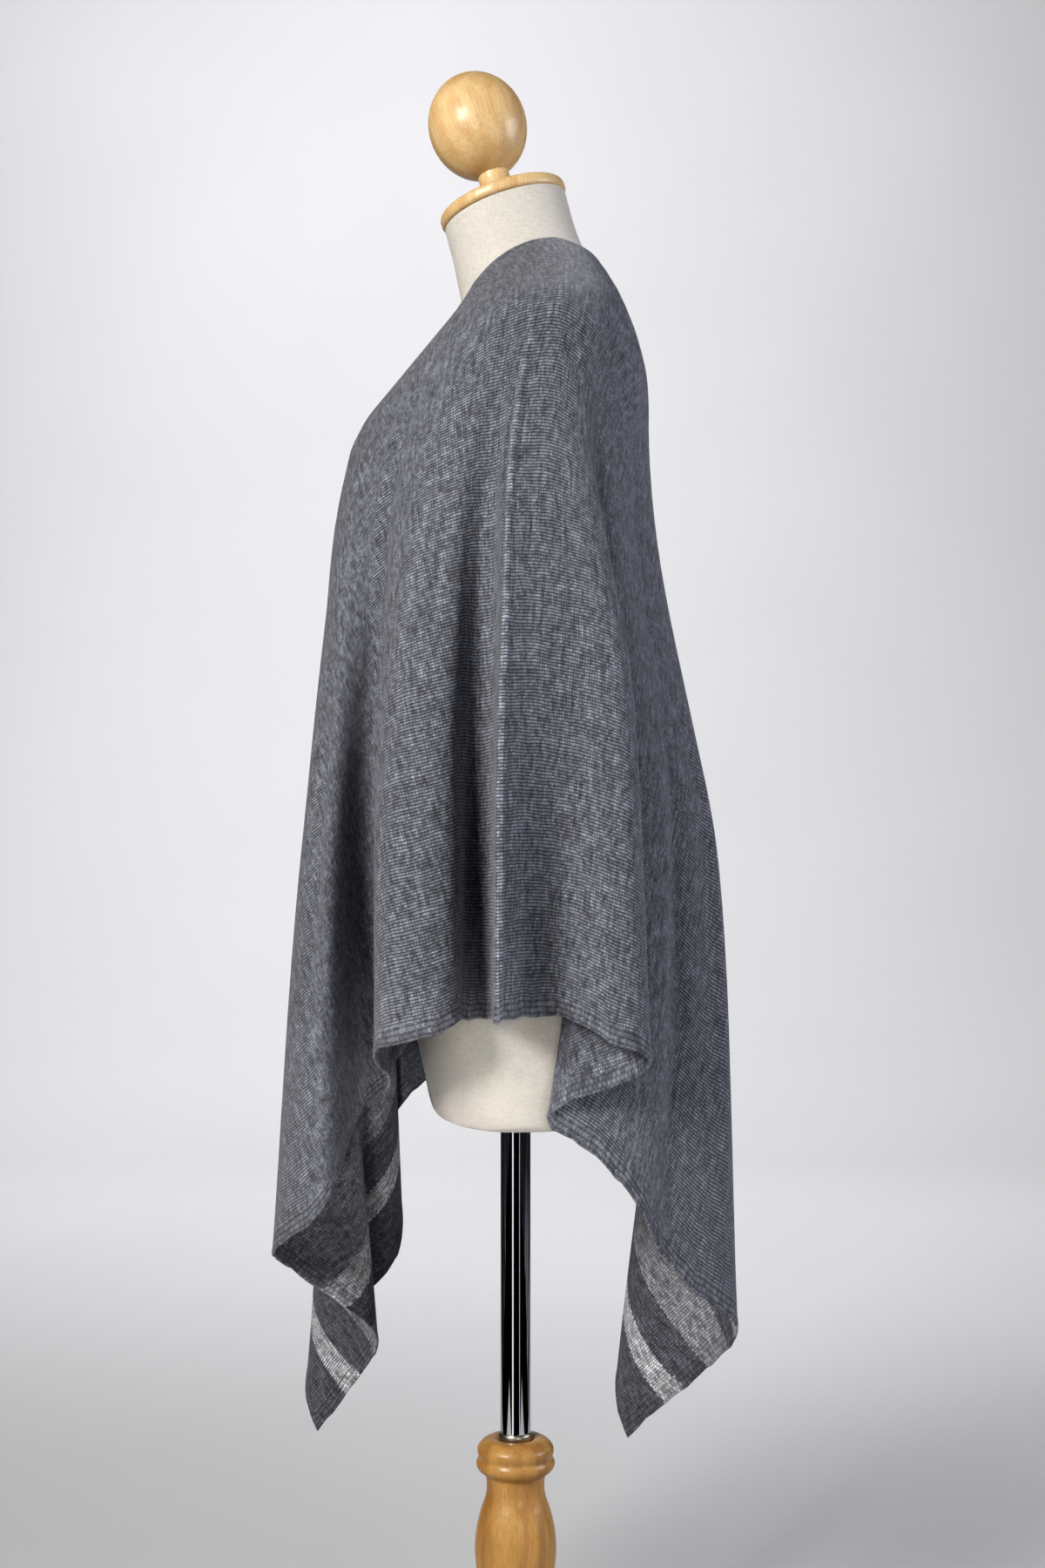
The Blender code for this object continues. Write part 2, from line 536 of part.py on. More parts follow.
def cloth_surface():
    """Middle surface of the cloth, points[row, column, 3] in cm.

    Each column lies on the torso from the neck edge to where it leaves it, and then hangs to the hem
    by way of its point half way down. It is cut off where the flat cut ends, which keeps the free
    corners sharp between the smooth curves of the folds.
    """
    line = hang_lines()
    share = np.linspace(0, 1, CONTROLS_ON_TORSO)[:, None]
    rings = line["edge_ring"] + (line["ring"] - line["edge_ring"]) * share
    turns = line["edge_turn"] + (line["turn"] - line["edge_turn"]) * share
    on_torso = pull_taut(*torso_skin(rings, turns, CLOTH_CLEARANCE + CLOTH_THICKNESS / 2))
    leave = on_torso[-1]
    end = np.stack([line["x"], line["y"], line["z"]], axis=1)
    middle = np.stack([line["mid_x"], line["mid_y"], (leave[:, 2] + end[:, 2]) / 2], axis=1)
    hanging = np.stack([leave, middle, end])
    cut = np.minimum(flat_length(line["slit"], line["hem"]) / line["length"], 1.0)
    leaving = path_length(on_torso) / (path_length(on_torso) + path_length(hanging))
    upper = np.linspace(0, 1, ROWS_ON_TORSO, endpoint=False)[:, None] * leaving
    lower = leaving + (cut - leaving) * np.linspace(0, 1, ROWS_HANGING)[:, None] ** HANG_GRADING
    points = along_curve(np.concatenate([on_torso, hanging[1:]]), np.concatenate([upper, lower]))
    return keep_clear(points, torso_tree())


def wall_grid(points):
    """The closed wall round a surface: its outer side down to the hem, then its inner side up.

    Each point moves half the thickness along the mean of the normals of the four faces round it, a
    little more where those faces turn, so that the wall keeps its thickness.
    """
    across = np.roll(points, -1, axis=1) - points
    down = points[1:] - points[:-1]
    face = np.cross(down, across[:-1] + across[1:])
    face /= np.linalg.norm(face, axis=-1, keepdims=True)
    around = np.concatenate([face[:1], face, face[-1:]])
    before = np.roll(around, 1, axis=1)
    four = np.stack([around[:-1], around[1:], before[:-1], before[1:]])
    normal = four.sum(axis=0)
    normal /= np.linalg.norm(normal, axis=-1, keepdims=True)
    cosine = (four * normal).sum(axis=-1).min(axis=0)
    step = normal * (CLOTH_THICKNESS / 2 / np.maximum(cosine, SHARPEST))[..., None]
    return np.concatenate([points + step, (points - step)[::-1]])


def build_poncho(material, collection):
    """The knitted panel, a wall closed round both sides and both edges."""
    points = wall_grid(cloth_surface())
    rows, columns = points.shape[:2]
    number = np.arange(rows * columns).reshape(rows, columns)
    beside, below = np.roll(number, -1, axis=1), np.roll(number, -1, axis=0)
    faces = np.stack([number, below, np.roll(below, -1, axis=1), beside], axis=-1).reshape(-1, 4)
    mesh = bpy.data.meshes.new("poncho_panel")
    mesh.from_pydata((points.reshape(-1, 3) * CM).tolist(), [], faces.tolist())
    mesh.update()
    return add_object("poncho_panel", mesh, material, collection)


def main():
    clear_scene()
    collection = bpy.data.collections.new(NAME)
    bpy.context.scene.collection.children.link(collection)
    knit = make_material("melange_knit", (0.13, 0.13, 0.145), 0.95)
    linen = make_material("linen", (0.78, 0.74, 0.66), 0.9)
    wood = make_material("rubberwood", (0.62, 0.38, 0.16), 0.4)
    chrome = make_material("chrome_plate", (0.8, 0.8, 0.82), 0.08, 1.0)
    steel = make_material("nickel_plate", (0.6, 0.58, 0.52), 0.3, 1.0)
    build_torso(linen, collection)
    build_neck_cap(wood, collection)
    build_finial(wood, collection)
    build_stand(wood, chrome, steel, collection)
    build_poncho(knit, collection)


main()
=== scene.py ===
"""Looks of the knitted poncho sweater on its dress form: fine meshes, knit, linen, turned wood and metal.

Everything is placed in the frame of the solids: metres, +Z up, the wearer faces -Y and their left is +X.
The tables are in centimetres and degrees, and CM turns them to metres.
"""
import math

import bpy
import numpy as np
from mathutils import Euler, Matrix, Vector


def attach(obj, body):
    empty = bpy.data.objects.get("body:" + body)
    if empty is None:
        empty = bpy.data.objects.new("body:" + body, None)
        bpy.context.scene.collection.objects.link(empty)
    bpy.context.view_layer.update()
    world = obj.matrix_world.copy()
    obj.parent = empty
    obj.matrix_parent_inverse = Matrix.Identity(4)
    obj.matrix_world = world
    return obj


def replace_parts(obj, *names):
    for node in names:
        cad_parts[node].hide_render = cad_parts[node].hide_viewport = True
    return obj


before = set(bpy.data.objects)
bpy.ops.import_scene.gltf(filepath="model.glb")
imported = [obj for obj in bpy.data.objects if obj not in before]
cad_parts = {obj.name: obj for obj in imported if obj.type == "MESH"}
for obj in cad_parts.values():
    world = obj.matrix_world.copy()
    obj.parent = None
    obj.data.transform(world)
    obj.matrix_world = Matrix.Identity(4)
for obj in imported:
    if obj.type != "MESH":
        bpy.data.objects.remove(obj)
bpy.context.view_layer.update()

CM = 0.01
GAP = 0.03               # between pieces that touch, in cm

# ---- the cut of the poncho, in cm ----
CUT_HALF_LENGTH = 77.0   # from the fold to a short end
CUT_WIDTH = 68.0         # from the neck edge to the hem
CLOTH_THICKNESS = 0.2
CLOTH_CLEARANCE = 0.16   # between the torso and the wall, where it lies on it

# ---- the dress form and its stand, in cm ----
NECK_LEAN = 17.4         # degrees, the neck's top leans forward
NECK_SIDE = 4.5          # degrees, and a little to the wearer's right
NECK_ROOT = 125.1        # the neck leans sideways from this height up
NECK_RISE = 2.5          # and is at its full angle this much higher
NECK_TOP = 131.86        # ring of the neck's top
CAP_RADIUS = 5.42
CAP_THICKNESS = 1.1
CAP_ROUNDING = 0.42
PEG_RADIUS = 1.32
PEG_HEIGHT = 2.3
BALL_RADIUS = 4.12
BALL_HEIGHT = 9.1
BALL_FLAT = 0.25         # how far the peg sits inside the round of the ball
POLE_RADIUS = 1.27
FERRULE_RADIUS = 1.42
FERRULE_HEIGHT = 0.6
COLUMN_TOP = 29.25
FOOT_RADIUS = 16.0
FOOT_HEIGHT = 2.6
TORSO_BOTTOM = 57.0

TORSO_RINGS = (
    # z,     y,    tilt, wide,  front, back, square
    (57.00, 0.00, 0.0, 13.3, 6.1, 8.9, 2.2),
    (57.25, 0.00, 0.0, 14.2, 6.7, 9.7, 2.2),
    (58.10, 0.00, 0.0, 15.0, 7.1, 10.3, 2.2),
    (60.00, 0.00, 0.0, 15.8, 7.5, 11.1, 2.2),
    (63.50, 0.00, 0.0, 16.6, 8.3, 11.9, 2.2),
    (67.00, 0.00, 0.0, 17.0, 9.0, 12.2, 2.2),
    (72.00, 0.00, 0.0, 16.6, 9.4, 11.4, 2.2),
    (78.00, 0.00, 0.0, 15.0, 9.2, 9.3, 2.2),
    (84.00, 0.00, 0.0, 12.9, 8.6, 7.3, 2.2),
    (89.00, 0.00, 0.0, 12.2, 8.4, 6.7, 2.2),
    (95.00, 0.00, 0.0, 12.9, 9.8, 7.6, 2.2),
    (101.0, 0.00, 0.0, 13.9, 12.0, 9.2, 2.2),
    (106.0, 0.00, 0.0, 14.9, 13.3, 10.0, 2.2),
    (110.0, 0.00, 0.0, 15.6, 13.6, 10.6, 2.2),
    (113.5, 0.20, 1.0, 16.5, 12.5, 10.5, 2.2),
    (116.5, 0.60, 2.5, 17.3, 10.4, 10.0, 2.2),
    (119.0, 1.00, 4.5, 17.6, 8.8, 9.0, 2.2),
    (120.8, 1.20, 6.5, 17.0, 7.7, 8.1, 2.2),
    (122.1, 1.30, 8.5, 15.3, 6.9, 7.5, 2.15),
    (123.2, 1.35, 10.5, 12.7, 6.5, 7.0, 2.1),
    (124.2, 1.30, 12.5, 9.9, 6.1, 6.5, 2.05),
    (125.1, 1.15, 14.0, 7.6, 5.85, 6.2, 2.0),
    (126.1, 0.80, 15.4, 6.05, 5.6, 5.75, 2.0),
    (127.6, 0.28, 15.8, 5.40, 5.38, 5.38, 2.0),
    (129.5, -0.25, 16.6, 5.26, 5.26, 5.26, 2.0),
    (131.86, -0.87, 17.4, 5.26, 5.26, 5.26, 2.0),
)

TORSO_COLUMNS = 144
LOW_RINGS = (59.0, 58.6, 58.2, 57.9, 57.6, 57.4, 57.25, 57.15, 57.07, 57.0)   # round its lower edge
RING_STEP, TURN_STEP = 0.05, 0.5   # cm and degrees, between points that give the torso's slopes

# The edge of the neck slit: how far along it from the fold, the torso ring that it crosses, and the
# direction round the torso (0 is the wearer's left, 90 the back).
NECK_EDGE_FRONT = (
    # along, ring,  turn
    (0.0, 127.27, 10.0),
    (1.7, 127.05, -8.2),
    (4.0, 126.35, -31.5),
    (5.5, 125.60, -48.0),
    (7.2, 124.25, -64.0),
    (10.3, 123.20, -84.0),
    (16.2, 122.00, -106.0),
    (21.9, 119.90, -125.0),
    (27.2, 116.30, -148.0),
    (35.0, 110.50, -180.0),
)
NECK_EDGE_BACK = (
    (0.0, 127.27, 10.0),
    (1.7, 127.25, 28.0),
    (3.9, 126.65, 49.8),
    (6.1, 126.10, 72.0),
    (8.3, 125.30, 90.0),
    (12.3, 123.50, 106.0),
    (19.2, 120.90, 124.0),
    (26.1, 116.60, 147.0),
    (35.0, 110.50, 180.0),
)

# The folds, each a line that hangs from the neck edge to the hem. slit: where it starts on the neck
# slit. hem: where it ends on the cut's edge, from the fold along the long edge, round the corner and
# up the short end. turn and ring: where it leaves the torso. mid_x, mid_y: half way down from there.
# x, y, z: its end on the hem.
FRONT_FOLDS = (
    # name,              slit, hem,   turn,   ring,  mid_x, mid_y, x,     y,     z
    ("crease",           0.0,  0.0,   2.0,    118.6, 21.9,  -0.7,  24.0,  -1.2,  66.5),
    ("trough side",      1.4,  7.2,   -6.0,   118.6, 18.4,  -2.1,  16.7,  -2.4,  66.0),
    ("side trough",      1.8,  9.2,   -9.0,   118.6, 18.2,  -3.1,  16.5,  -3.8,  66.0),
    ("ridge edge",       2.8,  14.2,  -16.0,  118.4, 20.6,  -4.6,  22.0,  -4.7,  65.9),
    ("side ridge",       3.3,  16.8,  -21.0,  118.0, 20.6,  -6.8,  22.5,  -7.4,  65.0),
    ("side ridge turn",  4.0,  20.6,  -27.5,  117.4, 18.4,  -9.5,  20.0,  -10.3, 63.8),
    ("hip roll",         4.7,  24.6,  -33.5,  116.4, 15.4,  -10.2, 15.8,  -10.2, 62.0),
    ("hip valley",       5.8,  32.8,  -40.0,  115.4, 11.0,  -10.9, 7.6,   -10.8, 59.0),
    ("chest slope",      6.1,  35.0,  -42.0,  114.0, 10.8,  -11.8, 7.2,   -12.0, 58.0),
    ("chest side",       7.5,  43.4,  -55.0,  111.5, 13.2,  -14.3, 15.4,  -14.4, 51.8),
    ("front ridge",      9.0,  52.2,  -66.0,  110.6, 8.2,   -17.0, 8.2,   -19.3, 46.4),
    ("front ridge turn", 10.2, 57.6,  -75.0,  110.4, 4.6,   -16.4, 4.4,   -17.8, 43.8),
    ("front valley",     11.6, 64.2,  -86.0,  110.4, 1.4,   -14.6, 1.8,   -12.0, 38.7),
    ("tail slope",       12.8, 69.5,  -96.0,  110.4, -2.2,  -14.4, -1.8,  -12.4, 34.8),
    ("front corner",     14.4, 77.0,  -107.0, 110.4, -5.2,  -15.8, -4.8,  -17.0, 28.3),
    ("tail ridge",       16.2, 82.5,  -114.0, 110.2, -8.0,  -15.6, -7.4,  -18.1, 32.8),
    ("right valley",     19.2, 94.0,  -127.0, 109.6, -11.9, -13.0, -12.6, -11.2, 40.6),
    ("right slope",      22.5, 101.5, -138.0, 109.0, -15.4, -11.0, -17.2, -10.8, 46.2),
    ("right ridge",      26.0, 109.0, -149.0, 108.4, -18.7, -9.8,  -21.6, -12.0, 51.8),
    ("right trough",     29.5, 118.5, -161.0, 107.6, -18.8, -5.9,  -19.6, -5.8,  58.6),
    ("sleeve ridge",     32.4, 131.0, -171.0, 106.8, -20.8, -3.2,  -24.8, -3.6,  64.6),
)
SEAM = ("seam", 35.0, 145.0, -180.0, 106.4, -19.6, 0.2, -22.8, 0.2, 69.4)
BACK_FOLDS = (
    ("left slope",       1.3,  6.6,   13.0,   118.6, 20.1,  3.2,   18.8,  3.3,   66.3),
    ("left ridge",       2.5,  12.0,  21.0,   118.4, 19.9,  7.3,   21.6,  8.0,   64.4),
    ("left ridge turn",  3.3,  15.0,  27.0,   118.0, 18.3,  8.8,   19.5,  10.1,  63.0),
    ("left roll",        4.2,  19.5,  32.0,   117.4, 16.8,  7.8,   18.2,  7.4,   61.0),
    ("left valley",      5.0,  24.5,  36.0,   117.0, 15.8,  6.8,   17.4,  2.6,   58.7),
    ("back slope",       6.0,  30.5,  43.0,   116.6, 14.6,  8.6,   16.2,  5.8,   55.6),
    ("back step",        7.0,  37.0,  51.0,   115.0, 13.2,  10.8,  14.8,  9.6,   51.0),
    ("back step foot",   8.0,  44.0,  59.0,   113.0, 11.6,  12.8,  12.6,  12.2,  46.2),
    ("back side",        9.0,  51.5,  66.0,   113.2, 9.4,   14.9,  10.2,  15.6,  42.6),
    ("back ridge",       10.2, 59.5,  76.0,   113.4, 6.3,   16.25, 6.0,   17.9,  39.8),
    ("back ridge turn",  11.6, 65.5,  86.0,   113.4, 2.8,   15.4,  1.4,   17.2,  36.4),
    ("back valley",      13.2, 71.5,  96.0,   113.4, -0.6,  13.6,  -1.2,  13.6,  32.4),
    ("back corner",      14.8, 77.0,  104.0,  113.4, -3.0,  12.7,  -2.6,  9.5,   28.5),
    ("tail edge",        16.6, 83.5,  110.0,  113.4, -5.6,  12.7,  -5.8,  9.0,   33.8),
    ("right back slope", 19.2, 91.0,  118.0,  111.8, -9.0,  13.6,  -9.6,  13.6,  39.2),
    ("right back ridge", 21.6, 98.0,  126.0,  111.0, -12.6, 14.0,  -14.4, 16.6,  44.0),
    ("right back turn",  24.2, 105.0, 137.0,  110.2, -15.4, 11.6,  -18.0, 13.6,  49.2),
    ("right back valley", 27.0, 112.5, 148.0, 109.0, -16.8, 8.4,   -17.6, 7.8,   54.2),
    ("right back side",  29.6, 121.5, 159.0,  108.0, -18.6, 6.4,   -21.8, 7.0,   59.6),
    ("back sleeve ridge", 32.4, 132.0, 170.0, 107.0, -20.6, 3.8,   -24.6, 3.8,   65.6),
)
LINE_VALUES = ("edge_ring", "edge_turn", "ring", "turn", "mid_x", "mid_y", "x", "y", "z", "slit", "hem",
               "length")
CONTROLS_ON_TORSO = 13   # points that a line is drawn through where it lies on the torso
TAUT_TURNS = 200         # turns of smoothing that pull a line straight across a hollow
STEPS_PER_CONTROL = 12   # fine steps of a line between those points
PRESSED_HEIGHT = 0.52    # the pressed fold stands out this far, in cm
PRESSED_WIDTH = 0.40     # its half width
PRESSED_START = 14.0     # it begins this far below the neck edge
PRESSED_FADE = 10.0      # and is whole this much lower
EDGE_STEPS = (0.0, 0.03, 0.08, 0.15, 0.26, 0.42, 0.65, 1.0)   # rows beside both edges, in cm from them
FREE_SHARE = 0.08        # share of a column over which it comes free of the torso
HEM_WAVES = ((0.10, 7.3, 0.4), (0.07, 3.1, 2.0), (0.04, 1.7, 1.1))   # height and length in cm, and shift
HEM_WAVE_FADE = 2.0      # the waves die away over about this distance from the hem
CREASE_FADE = 0.18       # share of a column over which a soft crease comes and goes
# Soft creases: place of the middle round the cut's edge, half width there, depth outwards, all in cm, and
# the shares of the column where it starts and ends.
SOFT_CREASES = (
    # name,               place, width, depth, start, end
    ("crease shade",       -3.6,  1.0, -0.15, 0.30, 1.10),
    ("left soft dip",      -8.6,  1.3, -0.27, 0.35, 0.95),
    ("left soft ridge",   -12.6,  1.0,   0.27, 0.50, 1.15),
    ("left small pleat",  -17.6,  0.9, -0.38, 0.45, 1.00),
    ("left small ridge",  -20.4,  0.8,   0.30, 0.52, 1.15),
    ("back side dip",     -24.6,  1.2, -0.34, 0.45, 0.95),
    ("back side ridge",   -29.5,  1.3,   0.30, 0.40, 0.90),
    ("back left dip",     -43.0,  2.2, -0.42, 0.45, 1.10),
    ("back left ridge",   -55.0,  2.0,   0.38, 0.40, 0.95),
    ("back tail dip",     -70.0,  1.8, -0.34, 0.55, 1.10),
    ("back middle ridge", -92.0,  2.2,   0.38, 0.45, 1.05),
    ("back middle dip",  -108.0,  2.4, -0.42, 0.40, 0.95),
    ("back right ridge", -124.0,  2.0,   0.34, 0.50, 1.10),
    ("hem lift",            7.6,  2.6,  0.16, 0.78, 1.30),
    ("chest soft dip",     12.6,  1.2, -0.23, 0.32, 0.85),
    ("hip soft ridge",     18.4,  1.0,   0.23, 0.55, 1.15),
    ("hip small dip",      22.4,  0.8, -0.34, 0.35, 0.80),
    ("front small ridge",  29.0,  1.0,   0.28, 0.50, 0.95),
    ("front side dip",     46.0,  1.7, -0.38, 0.40, 0.85),
    ("front low ridge",    60.0,  2.0,   0.34, 0.50, 1.10),
    ("front tail dip",     82.0,  1.8, -0.38, 0.50, 1.05),
    ("front middle ridge", 104.0, 2.4,   0.38, 0.42, 0.98),
    ("front right dip",    122.0, 2.2, -0.42, 0.45, 1.10),
    ("shoulder ridge",     -6.5,  2.6,   0.15, 0.02, 0.45),
    ("chest ridge",        33.0,  3.6,   0.15, 0.04, 0.42),
    ("back ridge line",   -40.0,  4.0,   0.15, 0.04, 0.42),
)
ROWS_ON_TORSO = 40       # cloth rows from the neck edge to where it leaves the torso
ROWS_HANGING = 62        # and from there to the hem
COLUMN_SPACING = 0.74    # between cloth columns, in cm along the cut's edge
CREASE_SPACING = 0.22    # and beside the pressed crease
CREASE_COLUMNS = 5.0     # as far as this from it, in cm

# Outer profile of the stand's column, from the top down: radius and z.
COLUMN_PROFILE = (
    (1.46, 29.25), (1.62, 29.40), (1.95, 29.46), (2.40, 29.36), (2.82, 29.10), (3.08, 28.80),
    (3.20, 28.53), (3.18, 28.22), (3.11, 28.00), (3.06, 27.87), (3.14, 27.72), (3.25, 27.54),
    (3.29, 27.36), (3.24, 27.08), (3.06, 26.80), (2.76, 26.55), (2.50, 26.30), (2.42, 25.75),
    (2.41, 25.20), (2.55, 24.45), (2.84, 23.60), (3.13, 22.56), (3.35, 21.25), (3.41, 20.20),
    (3.33, 19.00), (3.10, 17.40), (2.70, 15.60), (2.25, 13.40), (1.98, 11.00), (2.06, 8.60),
    (2.50, 6.80), (3.10, 5.70), (3.35, 5.00), (3.25, 4.40), (3.02, 4.10), (3.44, 3.60),
    (3.60, 3.10), (3.60, 2.66),
)


# ---------------------------------------------------------------- node helpers

def linear(code):
    """Linear colour of an sRGB hex code, by the sRGB curve."""
    channels = [int(code[k:k + 2], 16) / 255 for k in (1, 3, 5)]
    return tuple(c / 12.92 if c <= 0.04045 else ((c + 0.055) / 1.055) ** 2.4 for c in channels) + (1.0,)


def add(tree, kind, inputs=(), stops=(), **settings):
    """Add a shader node with its settings. A kind in capitals is the operation of a Math node.

    inputs are given in order, or by name or number. Each is a value, an output, or a node, which stands
    for its first output. stops are a colour ramp's, each a place and an sRGB code.
    """
    if kind.isupper():
        kind, settings["operation"] = "Math", kind
    node = tree.nodes.new("ShaderNode" + kind)
    for name, value in settings.items():
        setattr(node, name, value)
    for key, value in inputs.items() if isinstance(inputs, dict) else enumerate(inputs):
        if isinstance(value, bpy.types.Node):
            value = value.outputs[0]
        if isinstance(value, bpy.types.NodeSocket):
            tree.links.new(value, node.inputs[key])
        else:
            node.inputs[key].default_value = value
    for _ in stops[2:]:
        node.color_ramp.elements.new(1.0)
    for element, (place, code) in zip(node.color_ramp.elements if stops else (), stops):
        element.position, element.color = place, linear(code)
    return node


def new_material(name):
    """An empty node material and its tree."""
    material = bpy.data.materials.new(name)
    material.use_nodes = True
    material.node_tree.nodes.clear()
    return material, material.node_tree


# ---------------------------------------------------------------- curves through tables

def hermite(u, start, leaving, end, arriving):
    """Cubic from start to end as u goes from 0 to 1, with those slopes at its ends."""
    return ((1 + 2 * u) * (1 - u) ** 2 * start + u * (1 - u) ** 2 * leaving
            + u * u * (3 - 2 * u) * end + u * u * (u - 1) * arriving)


def smooth_curve(knots, values, at):
    """Monotone cubic curve through values at knots (Fritsch and Carlson), for rising knots."""
    knots = np.asarray(knots, float)
    values = np.asarray(values, float)
    step = np.diff(knots)
    slope = np.diff(values) / step
    tangent = np.zeros_like(values)
    tangent[0] = slope[0]
    tangent[-1] = slope[-1]
    same_sign = slope[:-1] * slope[1:] > 0
    weight_a = 2 * step[1:] + step[:-1]
    weight_b = step[1:] + 2 * step[:-1]
    with np.errstate(divide="ignore", invalid="ignore"):
        mean = (weight_a + weight_b) / (weight_a / slope[:-1] + weight_b / slope[1:])
    tangent[1:-1] = np.where(same_sign, mean, 0.0)
    at = np.clip(at, knots[0], knots[-1])
    cell = np.clip(np.searchsorted(knots, at, side="right") - 1, 0, len(step) - 1)
    u = (at - knots[cell]) / step[cell]
    return hermite(u, values[cell], step[cell] * tangent[cell],
                   values[cell + 1], step[cell] * tangent[cell + 1])


def closed_spline(knots, period, flat, at):
    """Smooth closed cubic spline through flat[knot, value] at knots, repeating after period.

    Its tangents are those that keep the second derivative even at every knot.
    """
    count = len(knots)
    step = np.diff(np.append(knots, knots[0] + period))
    following = np.roll(np.arange(count), -1)
    before = np.roll(np.arange(count), 1)
    slope = (flat[following] - flat) / step[:, None]
    matrix = np.zeros((count, count))
    matrix[np.arange(count), np.arange(count)] = 2 * (step + step[before])
    matrix[np.arange(count), following] += step[before]
    matrix[np.arange(count), before] += step
    tangent = np.linalg.solve(matrix, 3 * (step[before, None] * slope + step[:, None] * slope[before]))
    at = (at - knots[0]) % period + knots[0]
    cell = np.clip(np.searchsorted(knots, at, side="right") - 1, 0, count - 1)
    width = step[cell][:, None]
    u = (at - knots[cell])[:, None] / width
    ahead = following[cell]
    return hermite(u, flat[cell], width * tangent[cell], flat[ahead], width * tangent[ahead])


def along_curve(points, share):
    """Points at share[row, line] of the length of the Catmull-Rom line through points[control, line, 3]."""
    chord = np.linalg.norm(np.diff(points, axis=0), axis=2)
    first = 2 * points[:1] - points[1:2]
    last = 2 * points[-1:] - points[-2:-1]
    padded = np.concatenate([first, points, last])
    fine = []
    for cell in range(len(points) - 1):
        p0, p1, p2, p3 = padded[cell:cell + 4]
        d1 = chord[cell][:, None]
        d0 = chord[max(cell - 1, 0)][:, None]
        d2 = chord[min(cell + 1, len(chord) - 1)][:, None]
        m1 = d1 * ((p1 - p0) / d0 * d1 + (p2 - p1) / d1 * d0) / (d0 + d1)
        m2 = d1 * ((p2 - p1) / d1 * d2 + (p3 - p2) / d2 * d1) / (d1 + d2)
        for u in np.arange(STEPS_PER_CONTROL) / STEPS_PER_CONTROL:
            fine.append(hermite(u, p1, m1, p2, m2))
    fine.append(points[-1])
    fine = np.array(fine)
    length = np.concatenate([np.zeros((1, fine.shape[1])),
                             np.cumsum(np.linalg.norm(np.diff(fine, axis=0), axis=2), axis=0)])
    result = np.empty((len(share), fine.shape[1], 3))
    for line in range(fine.shape[1]):
        wanted = share[:, line] * length[-1, line]
        for axis in range(3):
            result[:, line, axis] = np.interp(wanted, length[:, line], fine[:, line, axis])
    return result


# ---------------------------------------------------------------- meshes

def grid_faces(rows, columns):
    """Quads of a grid whose columns close into a ring, wound so that down x along points outwards."""
    number = np.arange(rows * columns).reshape(rows, columns)
    beside = np.roll(number, -1, axis=1)
    return np.stack([number[:-1], number[1:], beside[1:], beside[:-1]], axis=-1).reshape(-1, 4)


def close_end(points, faces, first, count, middle, down):
    """Close the ring of count points from number first with triangles to its middle, a new point."""
    around = first + np.arange(count)
    following = np.roll(around, -1)
    pair = [following, around] if down else [around, following]
    faces += np.stack(pair + [np.full(count, len(points))], axis=1).tolist()
    return np.vstack([points, middle])


def new_object(name, vertices, faces, materials, sharp):
    """A smooth mesh object at the origin, from vertices in cm, with edges sharp from that angle."""
    mesh = bpy.data.meshes.new(name)
    mesh.from_pydata((vertices * CM).tolist(), [], faces)
    mesh.shade_smooth()
    for material in materials:
        mesh.materials.append(material)
    mesh.update()
    mesh.set_sharp_from_angle(angle=math.radians(sharp))
    obj = bpy.data.objects.new(name, mesh)
    bpy.context.scene.collection.objects.link(obj)
    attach(obj, "root")
    return obj


def turned(name, node, profile, steps, material, lean=None):
    """A turned piece in place of a solid: profile[point] = (radius, height), top down, carried round.

    x = r cos a, y = r sin a, z = height, in equal steps of a. Its poles close in one point each. lean
    tips it forward with the neck, its zero at that height on the neck's axis.
    """
    profile = np.array(profile, float)
    closed_top = profile[0, 0] == 0
    closed_bottom = profile[-1, 0] == 0
    ring = profile[int(closed_top):len(profile) - int(closed_bottom)]
    angle = np.arange(steps) * 2 * math.pi / steps
    points = np.stack([ring[:, :1] * np.cos(angle), ring[:, :1] * np.sin(angle),
                       ring[:, 1:] + 0 * angle], axis=-1).reshape(-1, 3)
    faces = grid_faces(len(ring), steps).tolist()
    if closed_top:
        points = close_end(points, faces, 0, steps, (0, 0, profile[0, 1]), False)
    if closed_bottom:
        points = close_end(points, faces, (len(ring) - 1) * steps, steps, (0, 0, profile[-1, 1]), True)
    if lean is not None:
        place, turn = lean_frame(lean)
        points = points @ turn.T + place
    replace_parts(new_object(name, points, faces, [material], 50), node)


def arc(centre, radius, start, end, count):
    """Points (radius, height) on an arc, from start to end degrees, 0 pointing out and 90 up."""
    angles = np.radians(np.linspace(start, end, count))
    return [(centre[0] + radius * math.cos(a), centre[1] + radius * math.sin(a)) for a in angles]


def lean_frame(up):
    """Place, in cm, and turn at a height along the neck's leaning axis, from the middle of the neck's top."""
    start = torso_points(np.array([NECK_TOP] * 2), np.array([0.0, 180.0])).mean(axis=0)
    turn = np.array(Euler((math.radians(NECK_LEAN), -math.radians(NECK_SIDE), 0.0)).to_matrix())
    return start + turn @ np.array([0.0, 0.0, up]), turn


# ---------------------------------------------------------------- dress form

